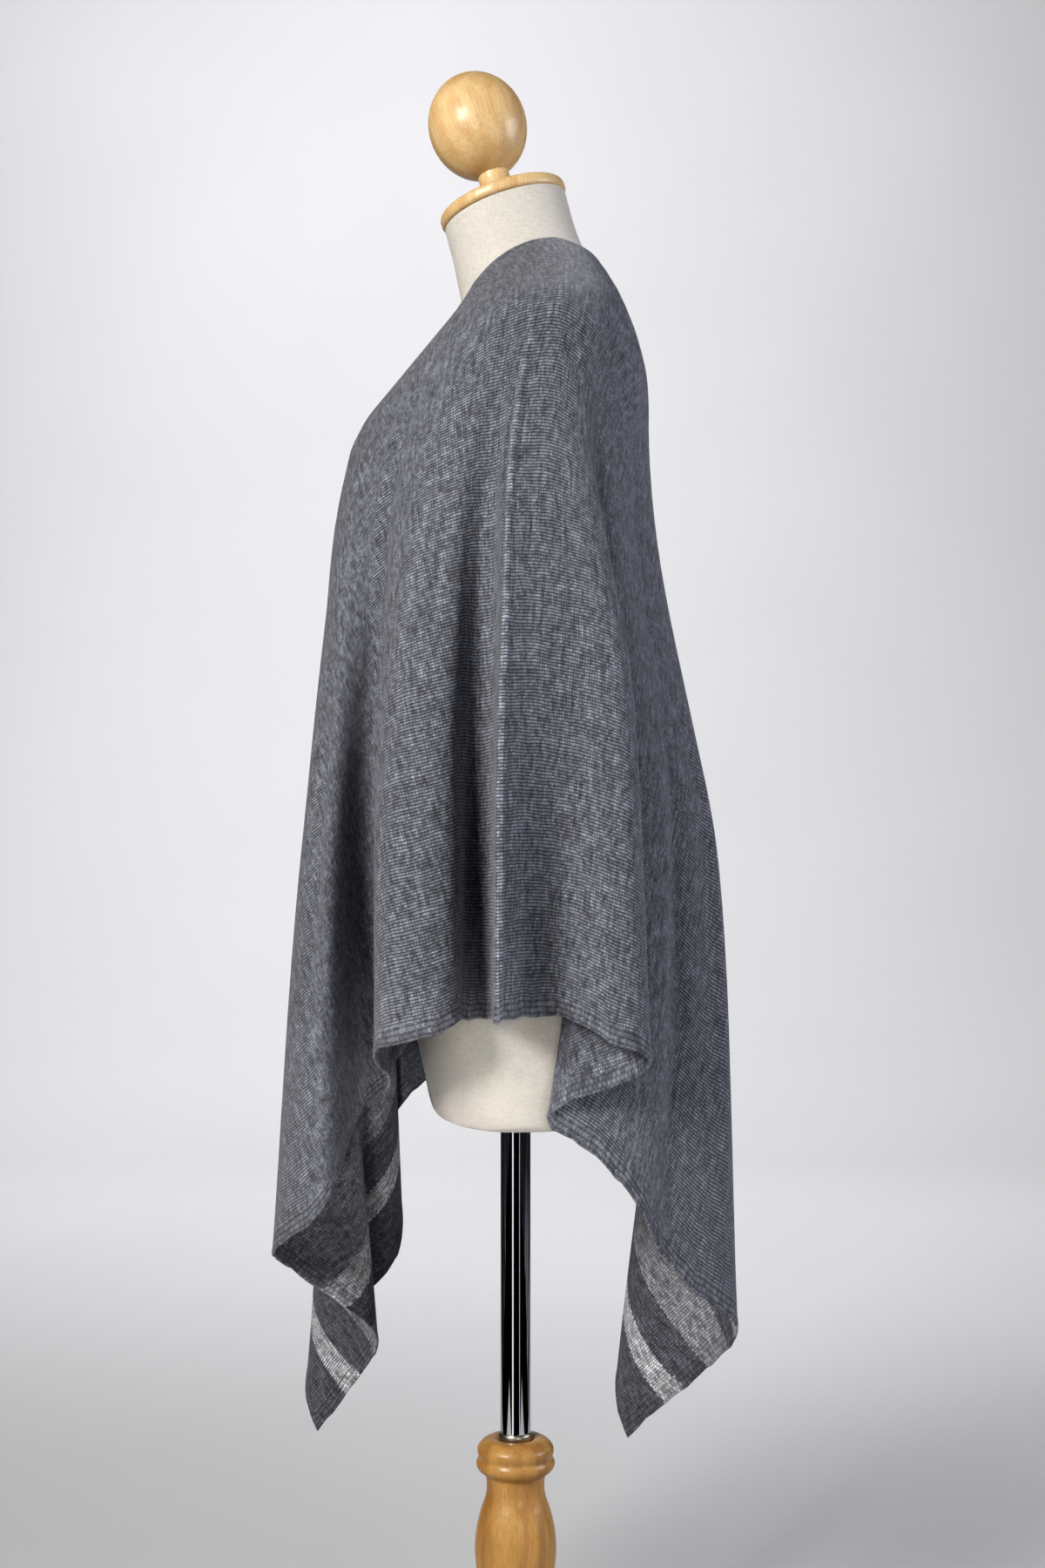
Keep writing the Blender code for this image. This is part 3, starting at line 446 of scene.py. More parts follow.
def torso_points(ring, turn):
    """Points on the torso: each ring is a superellipse |x/a|^n + |y/b|^n = 1, tilted about X.

    The neck's rings also tilt about Y, and their centres lean with them.
    """
    table = np.array(TORSO_RINGS)
    z, y, tilt, wide, front, back, square = (smooth_curve(table[:, 0], table[:, k], ring) for k in range(7))
    turn = np.radians(turn)
    cos, sin = np.cos(turn), np.sin(turn)
    x = wide * np.sign(cos) * np.abs(cos) ** (2 / square)
    depth = np.where(sin < 0, front, back)
    forward = depth * np.sign(sin) * np.abs(sin) ** (2 / square)
    tilt = np.radians(tilt)
    up = ring - NECK_ROOT
    side = math.radians(NECK_SIDE) * smooth_curve((0.0, NECK_RISE), (0.0, 1.0), up)
    along = x - np.maximum(up - NECK_RISE / 2, 0.0) * np.sin(side)
    return np.stack([along, y + forward * np.cos(tilt), z + forward * np.sin(tilt) + x * np.sin(side)],
                    axis=-1)


def torso_skin(ring, turn, distance):
    """Points at a distance outside the torso, and the normals there: the cross product of its slopes."""
    point = torso_points(ring, turn)
    round_it = torso_points(ring, turn + TURN_STEP) - torso_points(ring, turn - TURN_STEP)
    up_it = torso_points(ring + RING_STEP, turn) - torso_points(ring - RING_STEP, turn)
    normal = np.cross(round_it, up_it)
    normal /= np.linalg.norm(normal, axis=-1, keepdims=True)
    return point + normal * distance, normal


def build_torso(material):
    """The padded torso: rings of the table's smooth curve from the neck down, closed by flat ends."""
    # Rings are 3 mm apart on the neck and shoulders, and 7 mm below them.
    rings = np.concatenate([np.linspace(NECK_TOP, 119.0, 40), np.linspace(118.5, 59.5, 86), LOW_RINGS])
    turns = np.arange(TORSO_COLUMNS) * 360 / TORSO_COLUMNS
    points = torso_points(rings[:, None] + 0 * turns, turns[None, :] + 0 * rings[:, None])
    rows, columns = points.shape[:2]
    faces = grid_faces(rows, columns).tolist()
    vertices = close_end(points.reshape(-1, 3), faces, 0, columns, points[0].mean(axis=0), False)
    vertices = close_end(vertices, faces, (rows - 1) * columns, columns, points[-1].mean(axis=0), True)
    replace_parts(new_object("torso_linen_cover", vertices, faces, [material], 60), "form_torso")


def build_form_top(wood):
    """The rounded disc on the neck, and the ball with its peg."""
    rim = CAP_RADIUS - CAP_ROUNDING
    profile = [(0.0, CAP_THICKNESS), (rim * 0.6, CAP_THICKNESS)]
    profile += arc((rim, CAP_THICKNESS - CAP_ROUNDING), CAP_ROUNDING, 90, 0, 9)
    profile += arc((rim, CAP_ROUNDING), CAP_ROUNDING, 0, -90, 9) + [(rim * 0.6, 0.0), (0.0, 0.0)]
    turned("neck_cap_disc", "form_neck_cap", profile, 128, wood, lean=GAP)
    half = BALL_HEIGHT / 2
    middle = PEG_HEIGHT + half - BALL_FLAT
    last = math.degrees(math.asin(-(half - BALL_FLAT) / half))
    angles = np.radians(np.linspace(87.5, last, 60))
    profile = [(0.0, middle + half)] + list(zip(BALL_RADIUS * np.cos(angles), middle + half * np.sin(angles)))
    profile[-1] = (PEG_RADIUS, PEG_HEIGHT)
    bevel = 0.08
    profile += [(PEG_RADIUS, bevel), (PEG_RADIUS - bevel, 0.0), (0.0, 0.0)]
    turned("finial_ball", "form_finial", profile, 128, wood, lean=GAP + CAP_THICKNESS + GAP)


def build_stand(wood, board, chrome, nickel):
    """Pole, ferrule, turned column and plain round foot."""
    top, low = TORSO_BOTTOM - GAP, COLUMN_TOP + GAP
    # A second ring close to each end keeps the pole's smooth normals level.
    bevel, second = 0.03, 0.1
    pole = [(0.0, top), (POLE_RADIUS - bevel, top), (POLE_RADIUS, top - bevel), (POLE_RADIUS, top - second),
            (POLE_RADIUS, low + second), (POLE_RADIUS, low + bevel), (POLE_RADIUS - bevel, low), (0.0, low)]
    turned("pole_tube", "stand_pole", pole, 128, chrome)
    inner, high, bevel = POLE_RADIUS + GAP, low + FERRULE_HEIGHT, 0.06
    ring = [(inner, high), (FERRULE_RADIUS - bevel, high), (FERRULE_RADIUS, high - bevel),
            (FERRULE_RADIUS, low + bevel), (FERRULE_RADIUS - bevel, low), (inner, low), (inner, high)]
    turned("ferrule_ring", "stand_ferrule", ring, 96, nickel)
    profile = np.array(COLUMN_PROFILE)
    length = np.concatenate([[0], np.cumsum(np.linalg.norm(np.diff(profile, axis=0), axis=1))])
    fine = np.linspace(0, length[-1], 170)
    smooth = np.stack([smooth_curve(length, profile[:, k], fine) for k in (0, 1)], axis=1)
    column = [(0.0, COLUMN_TOP)] + smooth.tolist() + [(0.0, FOOT_HEIGHT + GAP)]
    turned("turned_column", "stand_column", column, 96, wood)
    rounding, bevel = 0.9, 0.2
    rim = FOOT_RADIUS - rounding
    foot = [(0.0, FOOT_HEIGHT), (5.0, FOOT_HEIGHT), (11.0, FOOT_HEIGHT)]
    foot += arc((rim, FOOT_HEIGHT - rounding), rounding, 90, 0, 10)
    foot += [(FOOT_RADIUS, bevel), (FOOT_RADIUS - bevel, 0.0), (0.0, 0.0)]
    turned("round_foot", "stand_foot", foot, 160, board)


# ---------------------------------------------------------------- poncho

def fold_rows():
    """Every fold line round the garment: front from the crease to the seam, then back from the seam.

    Gives their places round the cut's edge, and their values by the names in LINE_VALUES.
    """
    rows = []
    places = []
    for back, folds, edge in ((False, FRONT_FOLDS + (SEAM,), NECK_EDGE_FRONT),
                              (True, BACK_FOLDS[::-1], NECK_EDGE_BACK)):
        circle = -360.0 if back else 0.0
        edge = np.array(edge)
        for _, slit, hem, turn, ring, *rest in folds:
            edge_ring, edge_turn = (smooth_curve(edge[:, 0], edge[:, k], slit) for k in (1, 2))
            rows.append((edge_ring, edge_turn + circle, ring, turn + circle, *rest,
                         slit, hem, flat_length(slit, hem)))
            places.append(2 * SEAM[2] - hem if back else hem)
    return np.array(places), np.array(rows)


def flat_length(slit, hem):
    """Length on the flat cut of the line from a point of the neck slit to a point of the cut's edge."""
    across = np.minimum(hem, CUT_HALF_LENGTH) - slit
    down = CUT_WIDTH - np.maximum(hem - CUT_HALF_LENGTH, 0.0)
    return np.hypot(across, down)


def column_places():
    """Where the cloth's columns end, round the cut's edge: evenly spaced, and closer beside the crease.

    The crease, both corners and the seam each have a column of their own.
    """
    seam, corner = SEAM[2], CUT_HALF_LENGTH
    beside = np.arange(0, CREASE_COLUMNS, CREASE_SPACING)
    rest = [np.linspace(a, b, int(round((b - a) / COLUMN_SPACING)), endpoint=False)
            for a, b in ((CREASE_COLUMNS, corner), (corner, seam))]
    front = np.concatenate([beside] + rest)
    back = 2 * seam - front[:0:-1]
    return np.concatenate([front, [seam], back])


def hang_lines(at):
    """Values of every column of the cloth, by the names in LINE_VALUES: smooth curves through the folds.

    Its place round the cut's edge is exact, and the neck slit's two sides each have a curve of their own,
    so that both meet in a point at the fold.
    """
    places, rows = fold_rows()
    whole = 2 * SEAM[2]
    growing = np.array(["turn" in name for name in LINE_VALUES])
    circle = -360.0 / whole
    columns = closed_spline(places, whole, rows - circle * places[:, None] * growing, at)
    columns += circle * at[:, None] * growing
    line = dict(zip(LINE_VALUES, columns.T))
    front = np.array([(row[2], row[1]) for row in FRONT_FOLDS + (SEAM,)])
    back = np.array([(0.0, 0.0)] + [(row[2], row[1]) for row in BACK_FOLDS + (SEAM,)])
    line["hem"] = np.minimum(at, whole - at)
    line["slit"] = np.where(at <= SEAM[2], smooth_curve(front[:, 0], front[:, 1], line["hem"]),
                            smooth_curve(back[:, 0], back[:, 1], line["hem"]))
    return line


def path_length(points):
    """Length of each line of points[control, line, 3]."""
    return np.linalg.norm(np.diff(points, axis=0), axis=2).sum(axis=0)


def pull_taut(points, normal):
    """Lift the points of each line that lie in a hollow of the torso, where cloth would span it.

    Again and again, a point below the middle of its two neighbours moves out to it along the normal.
    """
    for _ in range(TAUT_TURNS):
        middle = (points[:-2] + points[2:]) / 2
        lift = ((middle - points[1:-1]) * normal[1:-1]).sum(axis=-1, keepdims=True)
        points[1:-1] += normal[1:-1] * np.maximum(lift, 0.0)
    return points


def cloth_surface(at):
    """Middle surface of the cloth, points[row, column, 3] in cm, and its place on the flat cut.

    Each column lies on the torso from the neck edge to where it leaves it, then hangs to the hem by way
    of its point half way down, and ends where the flat cut ends. The place is (distance from the fold,
    distance from the neck edge), along the straight line of the column on the cut. Also gives each
    point's share of its column, how far it hangs free of the torso, from 0 to 1, and its distance from
    the nearer edge. The hem wanders by a few sines of the place round it.
    """
    line = hang_lines(at)
    share = np.linspace(0, 1, CONTROLS_ON_TORSO)[:, None]
    rings = line["edge_ring"] + (line["ring"] - line["edge_ring"]) * share
    turns = line["edge_turn"] + (line["turn"] - line["edge_turn"]) * share
    on_torso = pull_taut(*torso_skin(rings, turns, CLOTH_CLEARANCE + CLOTH_THICKNESS / 2))
    leave = on_torso[-1]
    end = np.stack([line["x"], line["y"], line["z"]], axis=1)
    middle = np.stack([line["mid_x"], line["mid_y"], (leave[:, 2] + end[:, 2]) / 2], axis=1)
    hanging = np.stack([leave, middle, end])
    cut = np.minimum(flat_length(line["slit"], line["hem"]) / line["length"], 1.0)
    leaving = path_length(on_torso) / (path_length(on_torso) + path_length(hanging))
    edge = np.array(EDGE_STEPS)[:, None] / line["length"]
    inner = edge[-1] + (leaving - edge[-1]) * np.linspace(0, 1, ROWS_ON_TORSO)[1:-1, None]
    last = cut - edge[-1]
    lower = leaving + (last - leaving) * np.linspace(0, 1, ROWS_HANGING)[:-1, None]
    rows = np.concatenate([edge, inner, lower, (cut - edge)[::-1]])
    near = np.exp(-(cut - rows) * line["length"] / HEM_WAVE_FADE)
    wave = sum(height * (np.sin(at * 2 * math.pi / long + shift) - 1) for height, long, shift in HEM_WAVES)
    points = along_curve(np.concatenate([on_torso, hanging[1:]]), rows + near * wave / line["length"])
    along = rows / cut
    free = np.clip((rows - leaving) / FREE_SHARE, 0, 1)
    slit, hem = line["slit"], line["hem"]
    outward = slit + (np.minimum(hem, CUT_HALF_LENGTH) - slit) * along
    down = (CUT_WIDTH - np.maximum(hem - CUT_HALF_LENGTH, 0.0)) * along
    side = np.where(at <= SEAM[2], 1.0, -1.0)
    from_edge = np.minimum(rows, cut - rows) * line["length"]
    return points, np.stack([outward * side, down], axis=-1), along, free, from_edge


def surface_normals(points):
    """Unit normals of points[row, column, 3], whose columns close into a ring: mean of the faces round."""
    across = np.roll(points, -1, axis=1) - points
    down = points[1:] - points[:-1]
    face = np.cross(across[:-1] + across[1:], down)
    face /= np.linalg.norm(face, axis=-1, keepdims=True)
    around = np.concatenate([face[:1], face, face[-1:]])
    before = np.roll(around, 1, axis=1)
    normal = around[:-1] + around[1:] + before[:-1] + before[1:]
    return normal / np.linalg.norm(normal, axis=-1, keepdims=True)


def soft_creases(at, along, free):
    """Height of the soft creases: each is a bell across its columns, faded in and out along them.

    A trough stays off the torso, so it counts only where the cloth hangs free.
    """
    whole = 2 * SEAM[2]
    height = 0.0 * along
    for _, place, width, depth, start, end in SOFT_CREASES:
        away = (at - place + whole / 2) % whole - whole / 2
        bell = np.exp(-(away / width) ** 2)
        fade = (np.clip((along - start) / CREASE_FADE, 0, 1)
                * np.clip((end - along) / CREASE_FADE, 0, 1))
        fade = fade * fade * (3 - 2 * fade)
        height += depth * bell * fade * (free if depth < 0 else 1.0)
    return height


def edge_bead(distance):
    """Thickness beside an edge, as a share of the cloth's: a soft bead that rounds off to the edge.

    The bead is a bell 0.30 cm from the edge, half as thick again. The last 0.14 cm are an ellipse.
    """
    bead = 1 + 0.5 * np.exp(-((distance - 0.30) / 0.30) ** 2)
    return bead * np.sqrt(1 - 0.92 * (1 - np.minimum(distance / 0.14, 1.0)) ** 2)


def build_poncho(knit, reverse):
    """The knitted panel: a thin shell, closed round both of its edges."""
    at = column_places()
    points, flat, along, free, from_edge = cloth_surface(at)
    normal = surface_normals(points)
    outward, down = flat[..., 0], flat[..., 1]
    pressed = PRESSED_HEIGHT * np.exp(-(outward / PRESSED_WIDTH) ** 2)
    pressed *= np.clip((down - PRESSED_START) / PRESSED_FADE, 0, 1)
    height = pressed + soft_creases(at, along, free)
    points = points + normal * height[..., None]
    normal = surface_normals(points)
    half = (CLOTH_THICKNESS / 2 * edge_bead(from_edge))[..., None]
    shell = np.concatenate([points + normal * half, (points - normal * half)[::-1]])
    rows, columns = shell.shape[:2]
    number = np.arange(rows * columns).reshape(rows, columns)
    beside, below = np.roll(number, -1, axis=1), np.roll(number, -1, axis=0)
    faces = np.stack([number, beside, np.roll(below, -1, axis=1), below], axis=-1)
    obj = new_object("poncho_knit_panel", shell.reshape(-1, 3), faces.reshape(-1, 4).tolist(),
                     [knit, reverse], 70)
    # The second half of the rows is the reverse of the knit.
    side = np.zeros((rows, columns), np.int32)
    side[rows // 2:] = 1
    obj.data.polygons.foreach_set("material_index", side.ravel())
    # The cut's place of each face corner. At the seam column, a face keeps the sign of its own side.
    place = np.concatenate([flat, flat[::-1]])
    place = np.stack([np.abs(place[..., 0]), place[..., 1]], axis=-1)
    corner = np.stack([place, np.roll(place, -1, axis=1), np.roll(place, (-1, -1), axis=(0, 1)),
                       np.roll(place, -1, axis=0)], axis=2)
    corner[..., 0] *= np.where(at < SEAM[2], 1.0, -1.0)[None, :, None]
    layer = obj.data.uv_layers.new(name="flat_cut")
    layer.uv.foreach_set("vector", corner.reshape(-1).astype(np.float32))
    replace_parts(obj, "poncho_panel")


# ---------------------------------------------------------------- materials

YARN = {"base": "#6a6c74", "dark": "#52525a", "middle": "#7f7f85", "light": "#9c9ca1"}
# Stripes of the panel, from each short end inwards: where each starts, in cm, and its yarn.
STRIPES = ((0.0, "dark"), (4.3, "light"), (6.2, "dark"), (9.0, "middle"), (12.8, "dark"), (15.2, "light"),
           (17.3, "base"))
STRIPE_SPAN = 20.0
WALE = 0.245             # width of a column of stitches, in cm, drawn a little coarse so that it shows
COURSE = 0.18            # height of a stitch
BORDER = 1.4             # the hem's edge is knitted looser, over this width
BORDER_WALE = 0.467
BORDER_COURSE = 0.30
WALE_DRIFT = 0.35        # the wales wander over this much
# The pressed fold has a painted highlight along its top and painted shade beside it: the middle of each
# mark in cm from the fold, how many times it halves in a cm, and how much lighter it makes the knit.
FOLD_PAINTED_LIGHT = ((0.0, 7.0, 0.62), (0.55, 4.0, -0.38))


def knit_material(name, reverse):
    """Fine melange knit, knitted sideways: matt and soft, with a faint fuzz that brightens its edges.

    The face shows V stitches in wales along the panel, the reverse small ridges across it. A stitch is
    drawn from the cut's own centimetres. leg is the distance from the middle of its wale, 0 to 1. row is
    its place along the courses, which the leg shifts on the face and every other wale on the reverse.
    The yarn's height is a sine of leg times a sine of row. Each stitch takes its own lightness, as
    two-tone spun yarn does.
    """
    material, tree = new_material(name)
    uv = add(tree, "UVMap", uv_map="flat_cut")
    place = add(tree, "SeparateXYZ", (uv,))
    along, down = place.outputs[0], place.outputs[1]
    border = add(tree, "GREATER_THAN", (down, CUT_WIDTH - BORDER))
    wale = add(tree, "MULTIPLY_ADD", (border, BORDER_WALE - WALE, WALE))
    course = add(tree, "MULTIPLY_ADD", (border, BORDER_COURSE - COURSE, COURSE))
    # The wales wander a little, as in soft knit.
    wander = add(tree, "TexNoise", {"Vector": uv, "Scale": 0.45, "Detail": 2.0})
    wander = add(tree, "SUBTRACT", (wander, 0.5))
    drifted = add(tree, "MULTIPLY_ADD", (wander, WALE_DRIFT, down))
    across = add(tree, "DIVIDE", (drifted, wale))
    wale_number = add(tree, "FLOOR", (across,))
    leg = add(tree, "PINGPONG", (across, 0.5))
    leg = add(tree, "MULTIPLY_ADD", (leg, -2.0, 1.0))
    if reverse:
        shift = add(tree, "MULTIPLY", (wale_number, 0.5))
        shift = add(tree, "FRACT", (shift,))
        middle, slope = 0.5, -0.375
    else:
        shift = add(tree, "MULTIPLY", (leg, 0.75))
        middle, slope = 0.34, 0.66
    row = add(tree, "DIVIDE", (along, course))
    row = add(tree, "ADD", (row, shift))
    row_number = add(tree, "FLOOR", (row,))
    leg_round = add(tree, "MULTIPLY_ADD", (leg, slope * math.pi, middle * math.pi))
    leg_round = add(tree, "SINE", (leg_round,))
    yarn_round = add(tree, "FRACT", (row,))
    yarn_round = add(tree, "MULTIPLY", (yarn_round, math.pi))
    yarn_round = add(tree, "SINE", (yarn_round,))
    height = add(tree, "MULTIPLY_ADD", (yarn_round, 0.65, 0.35))
    height = add(tree, "MULTIPLY", (leg_round, height))
    # Colour: the stripe's yarn, chosen by the stitch's distance from the short end.
    edge = add(tree, "MULTIPLY", (row_number, course))
    edge = add(tree, "ABSOLUTE", (edge,))
    edge = add(tree, "SUBTRACT", (CUT_HALF_LENGTH, edge))
    edge = add(tree, "DIVIDE", (edge, STRIPE_SPAN), use_clamp=True)
    bands = add(tree, "ValToRGB", (edge,), [(start / STRIPE_SPAN, YARN[yarn]) for start, yarn in STRIPES])
    bands.color_ramp.interpolation = "CONSTANT"
    # Lightness: of each stitch, of streaks along the courses, and of soft clouds.
    stitch = add(tree, "CombineXYZ", (row_number, wale_number))
    speck = add(tree, "TexWhiteNoise", {"Vector": stitch}, noise_dimensions="2D")
    stretch = add(tree, "Mapping", {0: uv, "Scale": (3.6, 0.55, 1.0)})
    streak = add(tree, "TexNoise", {"Vector": stretch, "Scale": 1.0, "Detail": 4.0, "Roughness": 0.6})
    cloud = add(tree, "TexNoise", {"Vector": uv, "Scale": 0.9, "Detail": 3.0})
    light = 1.0
    for pattern, gain, least in ((speck, 0.68, 0.66), (streak, 2.50, -0.25), (cloud, 0.90, 0.55)):
        factor = add(tree, "MULTIPLY_ADD", (pattern, gain, least))
        light = add(tree, "MULTIPLY", (light, factor))
    # Painted shade: the gaps between the yarns are darkened by the yarn's height, less so in the border.
    depth = add(tree, "MULTIPLY_ADD", (border, -0.72, 1.42))
    painted_gap_shade = add(tree, "MULTIPLY_ADD", (border, 0.30, 0.02))
    factor = add(tree, "MULTIPLY_ADD", (height, depth, painted_gap_shade))
    light = add(tree, "MULTIPLY", (light, factor))
    # Painted highlight along the top of the pressed fold and painted shade beside it, whole below the neck
    # edge.
    fold = 0.0
    for middle, halvings, gain in FOLD_PAINTED_LIGHT:
        away = add(tree, "SUBTRACT", (along, middle))
        away = add(tree, "ABSOLUTE", (away,))
        painted_fold_mark = add(tree, "POWER", (0.5 ** halvings, away))
        fold = add(tree, "MULTIPLY_ADD", (painted_fold_mark, gain, fold))
    pressed = add(tree, "SUBTRACT", (down, PRESSED_START))
    pressed = add(tree, "DIVIDE", (pressed, PRESSED_FADE), use_clamp=True)
    factor = add(tree, "MULTIPLY_ADD", (fold, pressed, 1.0))
    light = add(tree, "MULTIPLY", (light, factor))
    colour = add(tree, "VectorMath", {0: bands, "Scale": light}, operation="SCALE")
    bump = add(tree, "Bump", {"Height": height, "Strength": 0.55, "Distance": 0.0009})
    add(tree, "OutputMaterial", (add(tree, "BsdfPrincipled", {
        "Base Color": colour, "Normal": bump, "Roughness": 0.95, "Specular IOR Level": 0.2,
        "Sheen Weight": 0.12 if reverse else 0.22, "Sheen Roughness": 0.45,
        "Sheen Tint": linear("#d8d9e0")}),))
    return material


def linen_material():
    """Plain woven unbleached linen over padding: matt cream threads with slubs and rare dark flecks."""
    material, tree = new_material("linen_plain_weave")
    where = add(tree, "TexCoord").outputs["Object"]
    # Threads 0.7 mm apart, drawn as noise that is long one way: warp up the form, weft round it.
    weave = 0.0
    for scale in ((1500.0, 1500.0, 130.0), (130.0, 130.0, 1500.0)):
        stretch = add(tree, "Mapping", {0: where, "Scale": scale})
        threads = add(tree, "TexNoise", {"Vector": stretch, "Scale": 1.0, "Detail": 3.0})
        weave = add(tree, "ADD", (weave, threads))
    tone = add(tree, "MULTIPLY", (weave, 0.5))
    tone = add(tree, "ValToRGB", (tone,), ((0.33, "#aca69e"), (0.62, "#c1bdb7")))
    spots = add(tree, "TexVoronoi", {"Vector": where, "Scale": 220.0})
    spots = add(tree, "LESS_THAN", (spots.outputs["Distance"], 0.09))
    rare = add(tree, "TexNoise", {"Vector": where, "Scale": 60.0})
    rare = add(tree, "GREATER_THAN", (rare, 0.6))
    fleck = add(tree, "MULTIPLY", (spots, rare))
    colour = add(tree, "Mix", {"Factor": fleck, "A": tone, "B": linear("#9a8668")}, data_type="RGBA")
    bump = add(tree, "Bump", {"Height": weave, "Strength": 0.35, "Distance": 0.0004})
    add(tree, "OutputMaterial", (add(tree, "BsdfPrincipled", {
        "Base Color": colour.outputs["Result"], "Normal": bump, "Roughness": 0.88,
        "Specular IOR Level": 0.3, "Sheen Weight": 0.1}),))
    return material


# Pale, deep and pore colours of the two woods.
PALE_WOOD = ("#caad7f", "#bf9b6a", "#8a653a")
AMBER_WOOD = ("#ad8344", "#936832", "#62401c")


def wood_material(name, pale, deep, line, lean):
    """Turned rubberwood under clear varnish: straight grain, soft growth bands, short pores, a soft gloss.

    The grain runs up the piece's own axis, or flat along a board, so the coordinates are tipped with it
    before they are stretched along it.
    """
    material, tree = new_material(name)
    where = add(tree, "TexCoord").outputs["Object"]
    upright = add(tree, "Mapping", {0: where, "Rotation": (-lean, 0.0, 0.0)})
    bend = add(tree, "TexNoise", {"Vector": upright, "Scale": 9.0, "Detail": 1.0})
    bent = add(tree, "VectorMath", (bend.outputs["Color"], (0.035, 0.035, 0.0), upright),
               operation="MULTIPLY_ADD")
    # Growth bands 13 mm wide, fibre lines 1.4 mm, pores 0.5 mm wide and 6 mm long: coarse enough to show.
    growth, fibre, pore = (
        add(tree, "TexNoise", {"Vector": add(tree, "Mapping", {0: bent, "Scale": (wide, wide, long)}),
                               "Scale": 1.0, "Detail": detail, "Roughness": rough})
        for wide, long, detail, rough in ((75.0, 6.0, 2.0, 0.5), (700.0, 30.0, 4.0, 0.65),
                                          (1900.0, 160.0, 1.0, 0.5)))
    tone = add(tree, "ValToRGB", (growth,), ((0.36, deep), (0.60, pale)))
    fine = add(tree, "MapRange", (fibre, 0.3, 0.7, 0.80, 1.10))
    toned = add(tree, "VectorMath", {0: tone, "Scale": fine}, operation="SCALE")
    dark = add(tree, "MapRange", (pore, 0.66, 0.74, 0.0, 0.65))
    colour = add(tree, "Mix", {"Factor": dark, "A": toned, "B": linear(line)}, data_type="RGBA")
    bump = add(tree, "Bump", {"Height": pore, "Strength": 0.06, "Distance": 0.0002})
    add(tree, "OutputMaterial", (add(tree, "BsdfPrincipled", {
        "Base Color": colour.outputs["Result"], "Normal": bump, "Roughness": 0.58, "IOR": 1.5,
        "Coat Weight": 0.30, "Coat Roughness": 0.22}),))
    return material


def metal_material(name, colour, roughness, grain, depth):
    """Plated metal, polished or brushed round: fine turning marks of that depth along its height."""
    material, tree = new_material(name)
    where = add(tree, "TexCoord").outputs["Object"]
    stretch = add(tree, "Mapping", {0: where, "Scale": grain})
    marks = add(tree, "TexNoise", {"Vector": stretch, "Scale": 1.0, "Detail": 2.0})
    rough = add(tree, "MapRange", (marks, 0.3, 0.7, roughness * 0.7, roughness * 1.3))
    bump = add(tree, "Bump", {"Height": marks, "Strength": depth, "Distance": 0.0001})
    add(tree, "OutputMaterial", (add(tree, "BsdfPrincipled", {
        "Base Color": linear(colour), "Metallic": 1.0, "Roughness": rough, "Normal": bump}),))
    return material


def paper_material():
    """Matt background paper off a roll: a pale cool grey with a faint unevenness."""
    material, tree = new_material("matt_background_paper")
    where = add(tree, "TexCoord").outputs["Object"]
    cloud = add(tree, "TexNoise", {"Vector": where, "Scale": 1.3, "Detail": 3.0})
    tone = add(tree, "ValToRGB", (cloud,), ((0.0, "#c1c1c2"), (1.0, "#c8c8c9")))
    add(tree, "OutputMaterial", (add(tree, "BsdfPrincipled", {
        "Base Color": tone, "Roughness": 0.95, "Specular IOR Level": 0.1}),))
    return material


# ---------------------------------------------------------------- stage, light and camera

# The paper, in cm: it runs flat from its near edge, curves up, and stands upright at the back.
PAPER_NEAR, PAPER_BACK, PAPER_TOP = 85.0, -550.0, 560.0
PAPER_CURVE = 250.0
PAPER_HALF_WIDTH = 95.0  # narrow round the stand, so that the chrome pole mirrors the dark room
PAPER_WIDENS = -60.0     # and wider from here back, by this much of each cm
PAPER_WIDENING = 0.26

MIDDLE = (0.0, 0.0, 0.95)
LIGHTS = (
    # name, place, target, width, height over width, power, spread, colour
    ("key", (2.06, -1.50, 1.98), MIDDLE, 1.0, 1.0, 107.0, 180.0, "#fffdf8"),
    ("lamp", (2.3, 0.8, 0.6), (0.0, 0.0, 0.62), 0.4, 1.0, 6.0, 180.0, "#f6f8ff"),
    ("card", (2.4, -0.1, 0.60), (0.1, -0.05, 0.56), 0.12, 1.0, 0.1, 8.0, "#fffdf8"),
    ("key strip", (2.3, -0.85, -0.1), (0.0, 0.0, 0.4), 0.42, 2.6, 2.0, 180.0, "#fffdf8"),
    ("lamp strip", (2.2, 1.3, -0.1), (0.0, 0.0, 0.4), 0.14, 7.0, 0.6, 180.0, "#dfe8ff"),
    ("rim", (0.3, 2.4, 1.5), MIDDLE, 1.2, 1.0, 46.0, 180.0, "#f6f8ff"),
    ("backdrop", (-2.1, -0.55, 3.35), (-4.8, 0.25, 2.0), 3.2, 1.0, 172.0, 180.0, "#fdfcff"),
)


def build_stage(material):
    """A sheet of pale paper that curves up into a backdrop: flat, a quarter circle, then upright."""
    angle = np.radians(np.linspace(0, 90, 25))
    x = np.concatenate([[PAPER_NEAR, PAPER_WIDENS], PAPER_BACK + PAPER_CURVE * (1 - np.sin(angle)),
                        [PAPER_BACK]])
    z = np.concatenate([[0.0, 0.0], PAPER_CURVE * (1 - np.cos(angle)), [PAPER_TOP]])
    half = PAPER_HALF_WIDTH + PAPER_WIDENING * np.maximum(PAPER_WIDENS - x, 0.0)
    side = np.array([-1.0, 1.0])
    points = np.stack([x[:, None] + 0 * side, half[:, None] * side, z[:, None] + 0 * side], axis=-1)
    number = np.arange(len(x) * 2).reshape(-1, 2)
    faces = np.stack([number[:-1, 0], number[:-1, 1], number[1:, 1], number[1:, 0]], axis=-1)
    mesh = bpy.data.meshes.new("floor_and_backdrop")
    mesh.from_pydata((points.reshape(-1, 3) * CM).tolist(), [], faces.tolist())
    mesh.shade_smooth()
    mesh.materials.append(material)
    stage = bpy.data.objects.new("floor_and_backdrop", mesh)
    bpy.context.scene.collection.objects.link(stage)


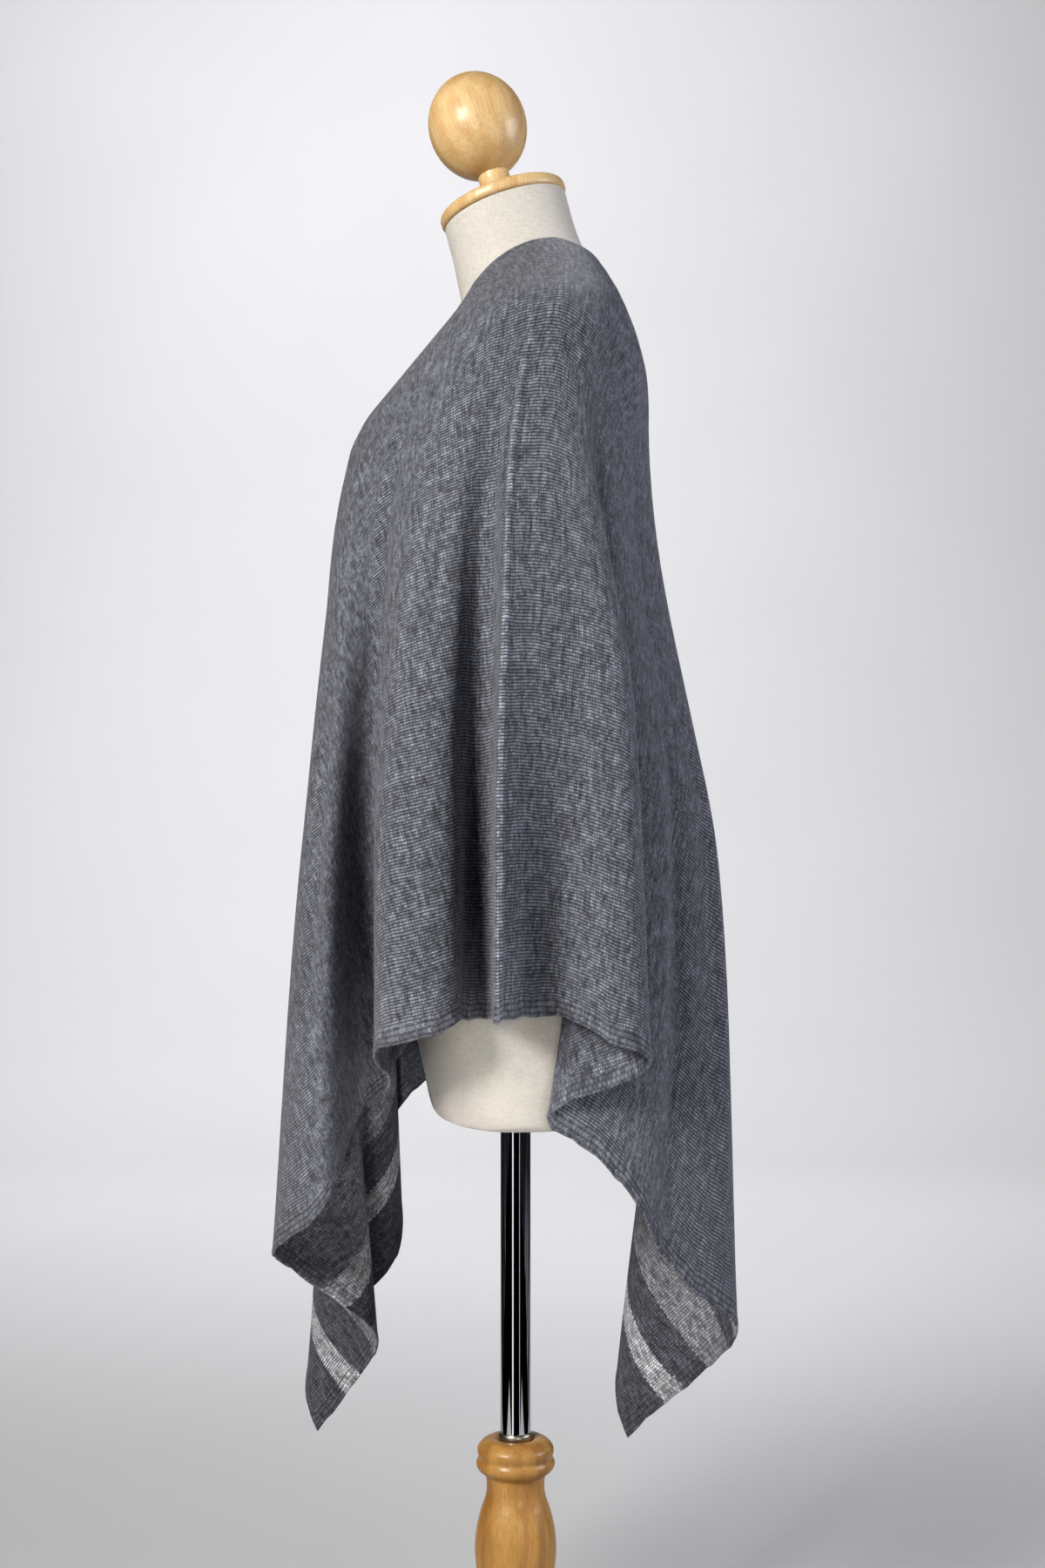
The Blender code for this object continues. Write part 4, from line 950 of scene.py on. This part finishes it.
def build_light():
    """Plain studio light: a large soft key at the wearer's front, weaker lights round it, a dim room.

    The room is dark behind the camera, which the chrome shows, and paler above. The card lights the
    cloth's deep troughs, the strips are there for the chrome pole, and the rest light the back.
    """
    for name, place, target, wide, tall, power, spread, colour in LIGHTS:
        light = bpy.data.lights.new(name, "AREA")
        light.shape = "RECTANGLE"
        light.size, light.size_y = wide, wide * tall
        light.energy = power
        light.spread = math.radians(spread)
        light.color = linear(colour)[:3]
        obj = bpy.data.objects.new(name, light)
        obj.location = place
        obj.rotation_euler = (Vector(target) - Vector(place)).to_track_quat("-Z", "Y").to_euler()
        obj.visible_camera = False
        bpy.context.scene.collection.objects.link(obj)
    world = bpy.data.worlds.new("room")
    world.use_nodes = True
    tree = world.node_tree
    room = tree.nodes["Background"]
    split = add(tree, "SeparateXYZ", (add(tree, "TexCoord").outputs["Generated"],))
    high = add(tree, "MapRange", (split.outputs[2], 0.25, 0.9, 0.0, 0.05))
    tree.links.new(high.outputs[0], room.inputs["Strength"])
    room.inputs["Color"].default_value = linear("#e9e9f2")
    # Seen directly, past the paper's edge, the room is as pale as the paper.
    seen = add(tree, "Background", {"Color": linear("#c4c4ca"), "Strength": 1.0})
    path = add(tree, "LightPath")
    mixed = add(tree, "MixShader", (path.outputs["Is Camera Ray"], room, seen))
    tree.links.new(mixed.outputs[0], tree.nodes["World Output"].inputs["Surface"])
    bpy.context.scene.world = world
    bpy.context.scene.view_settings.view_transform = "Standard"
    bpy.context.scene.view_settings.look = "Medium High Contrast"


def build_camera():
    """Level camera on the wearer's left, 1.82 m from the pole."""
    data = bpy.data.cameras.new("camera")
    data.sensor_fit = "VERTICAL"
    data.sensor_height = 36.0
    data.lens = 50.0
    camera = bpy.data.objects.new("camera", data)
    camera.location = (1.82, 0.0058, 0.84)
    camera.rotation_euler = (math.radians(90), 0.0, math.radians(90))
    bpy.context.scene.collection.objects.link(camera)
    bpy.context.scene.camera = camera


wood = wood_material("rubberwood_varnished", *PALE_WOOD, math.radians(NECK_LEAN))
amber = wood_material("rubberwood_amber_varnished", *AMBER_WOOD, 0.0)
board = wood_material("rubberwood_board_amber_varnished", *AMBER_WOOD, math.radians(90))
linen = linen_material()
chrome = metal_material("chrome_plated_steel", "#c0c2c5", 0.05, (40.0, 40.0, 40.0), 0.0)
nickel = metal_material("nickel_plated_brass_brushed", "#b9b3a6", 0.34, (60.0, 60.0, 6000.0), 0.4)

build_torso(linen)
build_form_top(wood)
build_stand(amber, board, chrome, nickel)
build_poncho(knit_material("melange_knit_face", False), knit_material("melange_knit_reverse", True))
build_stage(paper_material())
build_light()
build_camera()
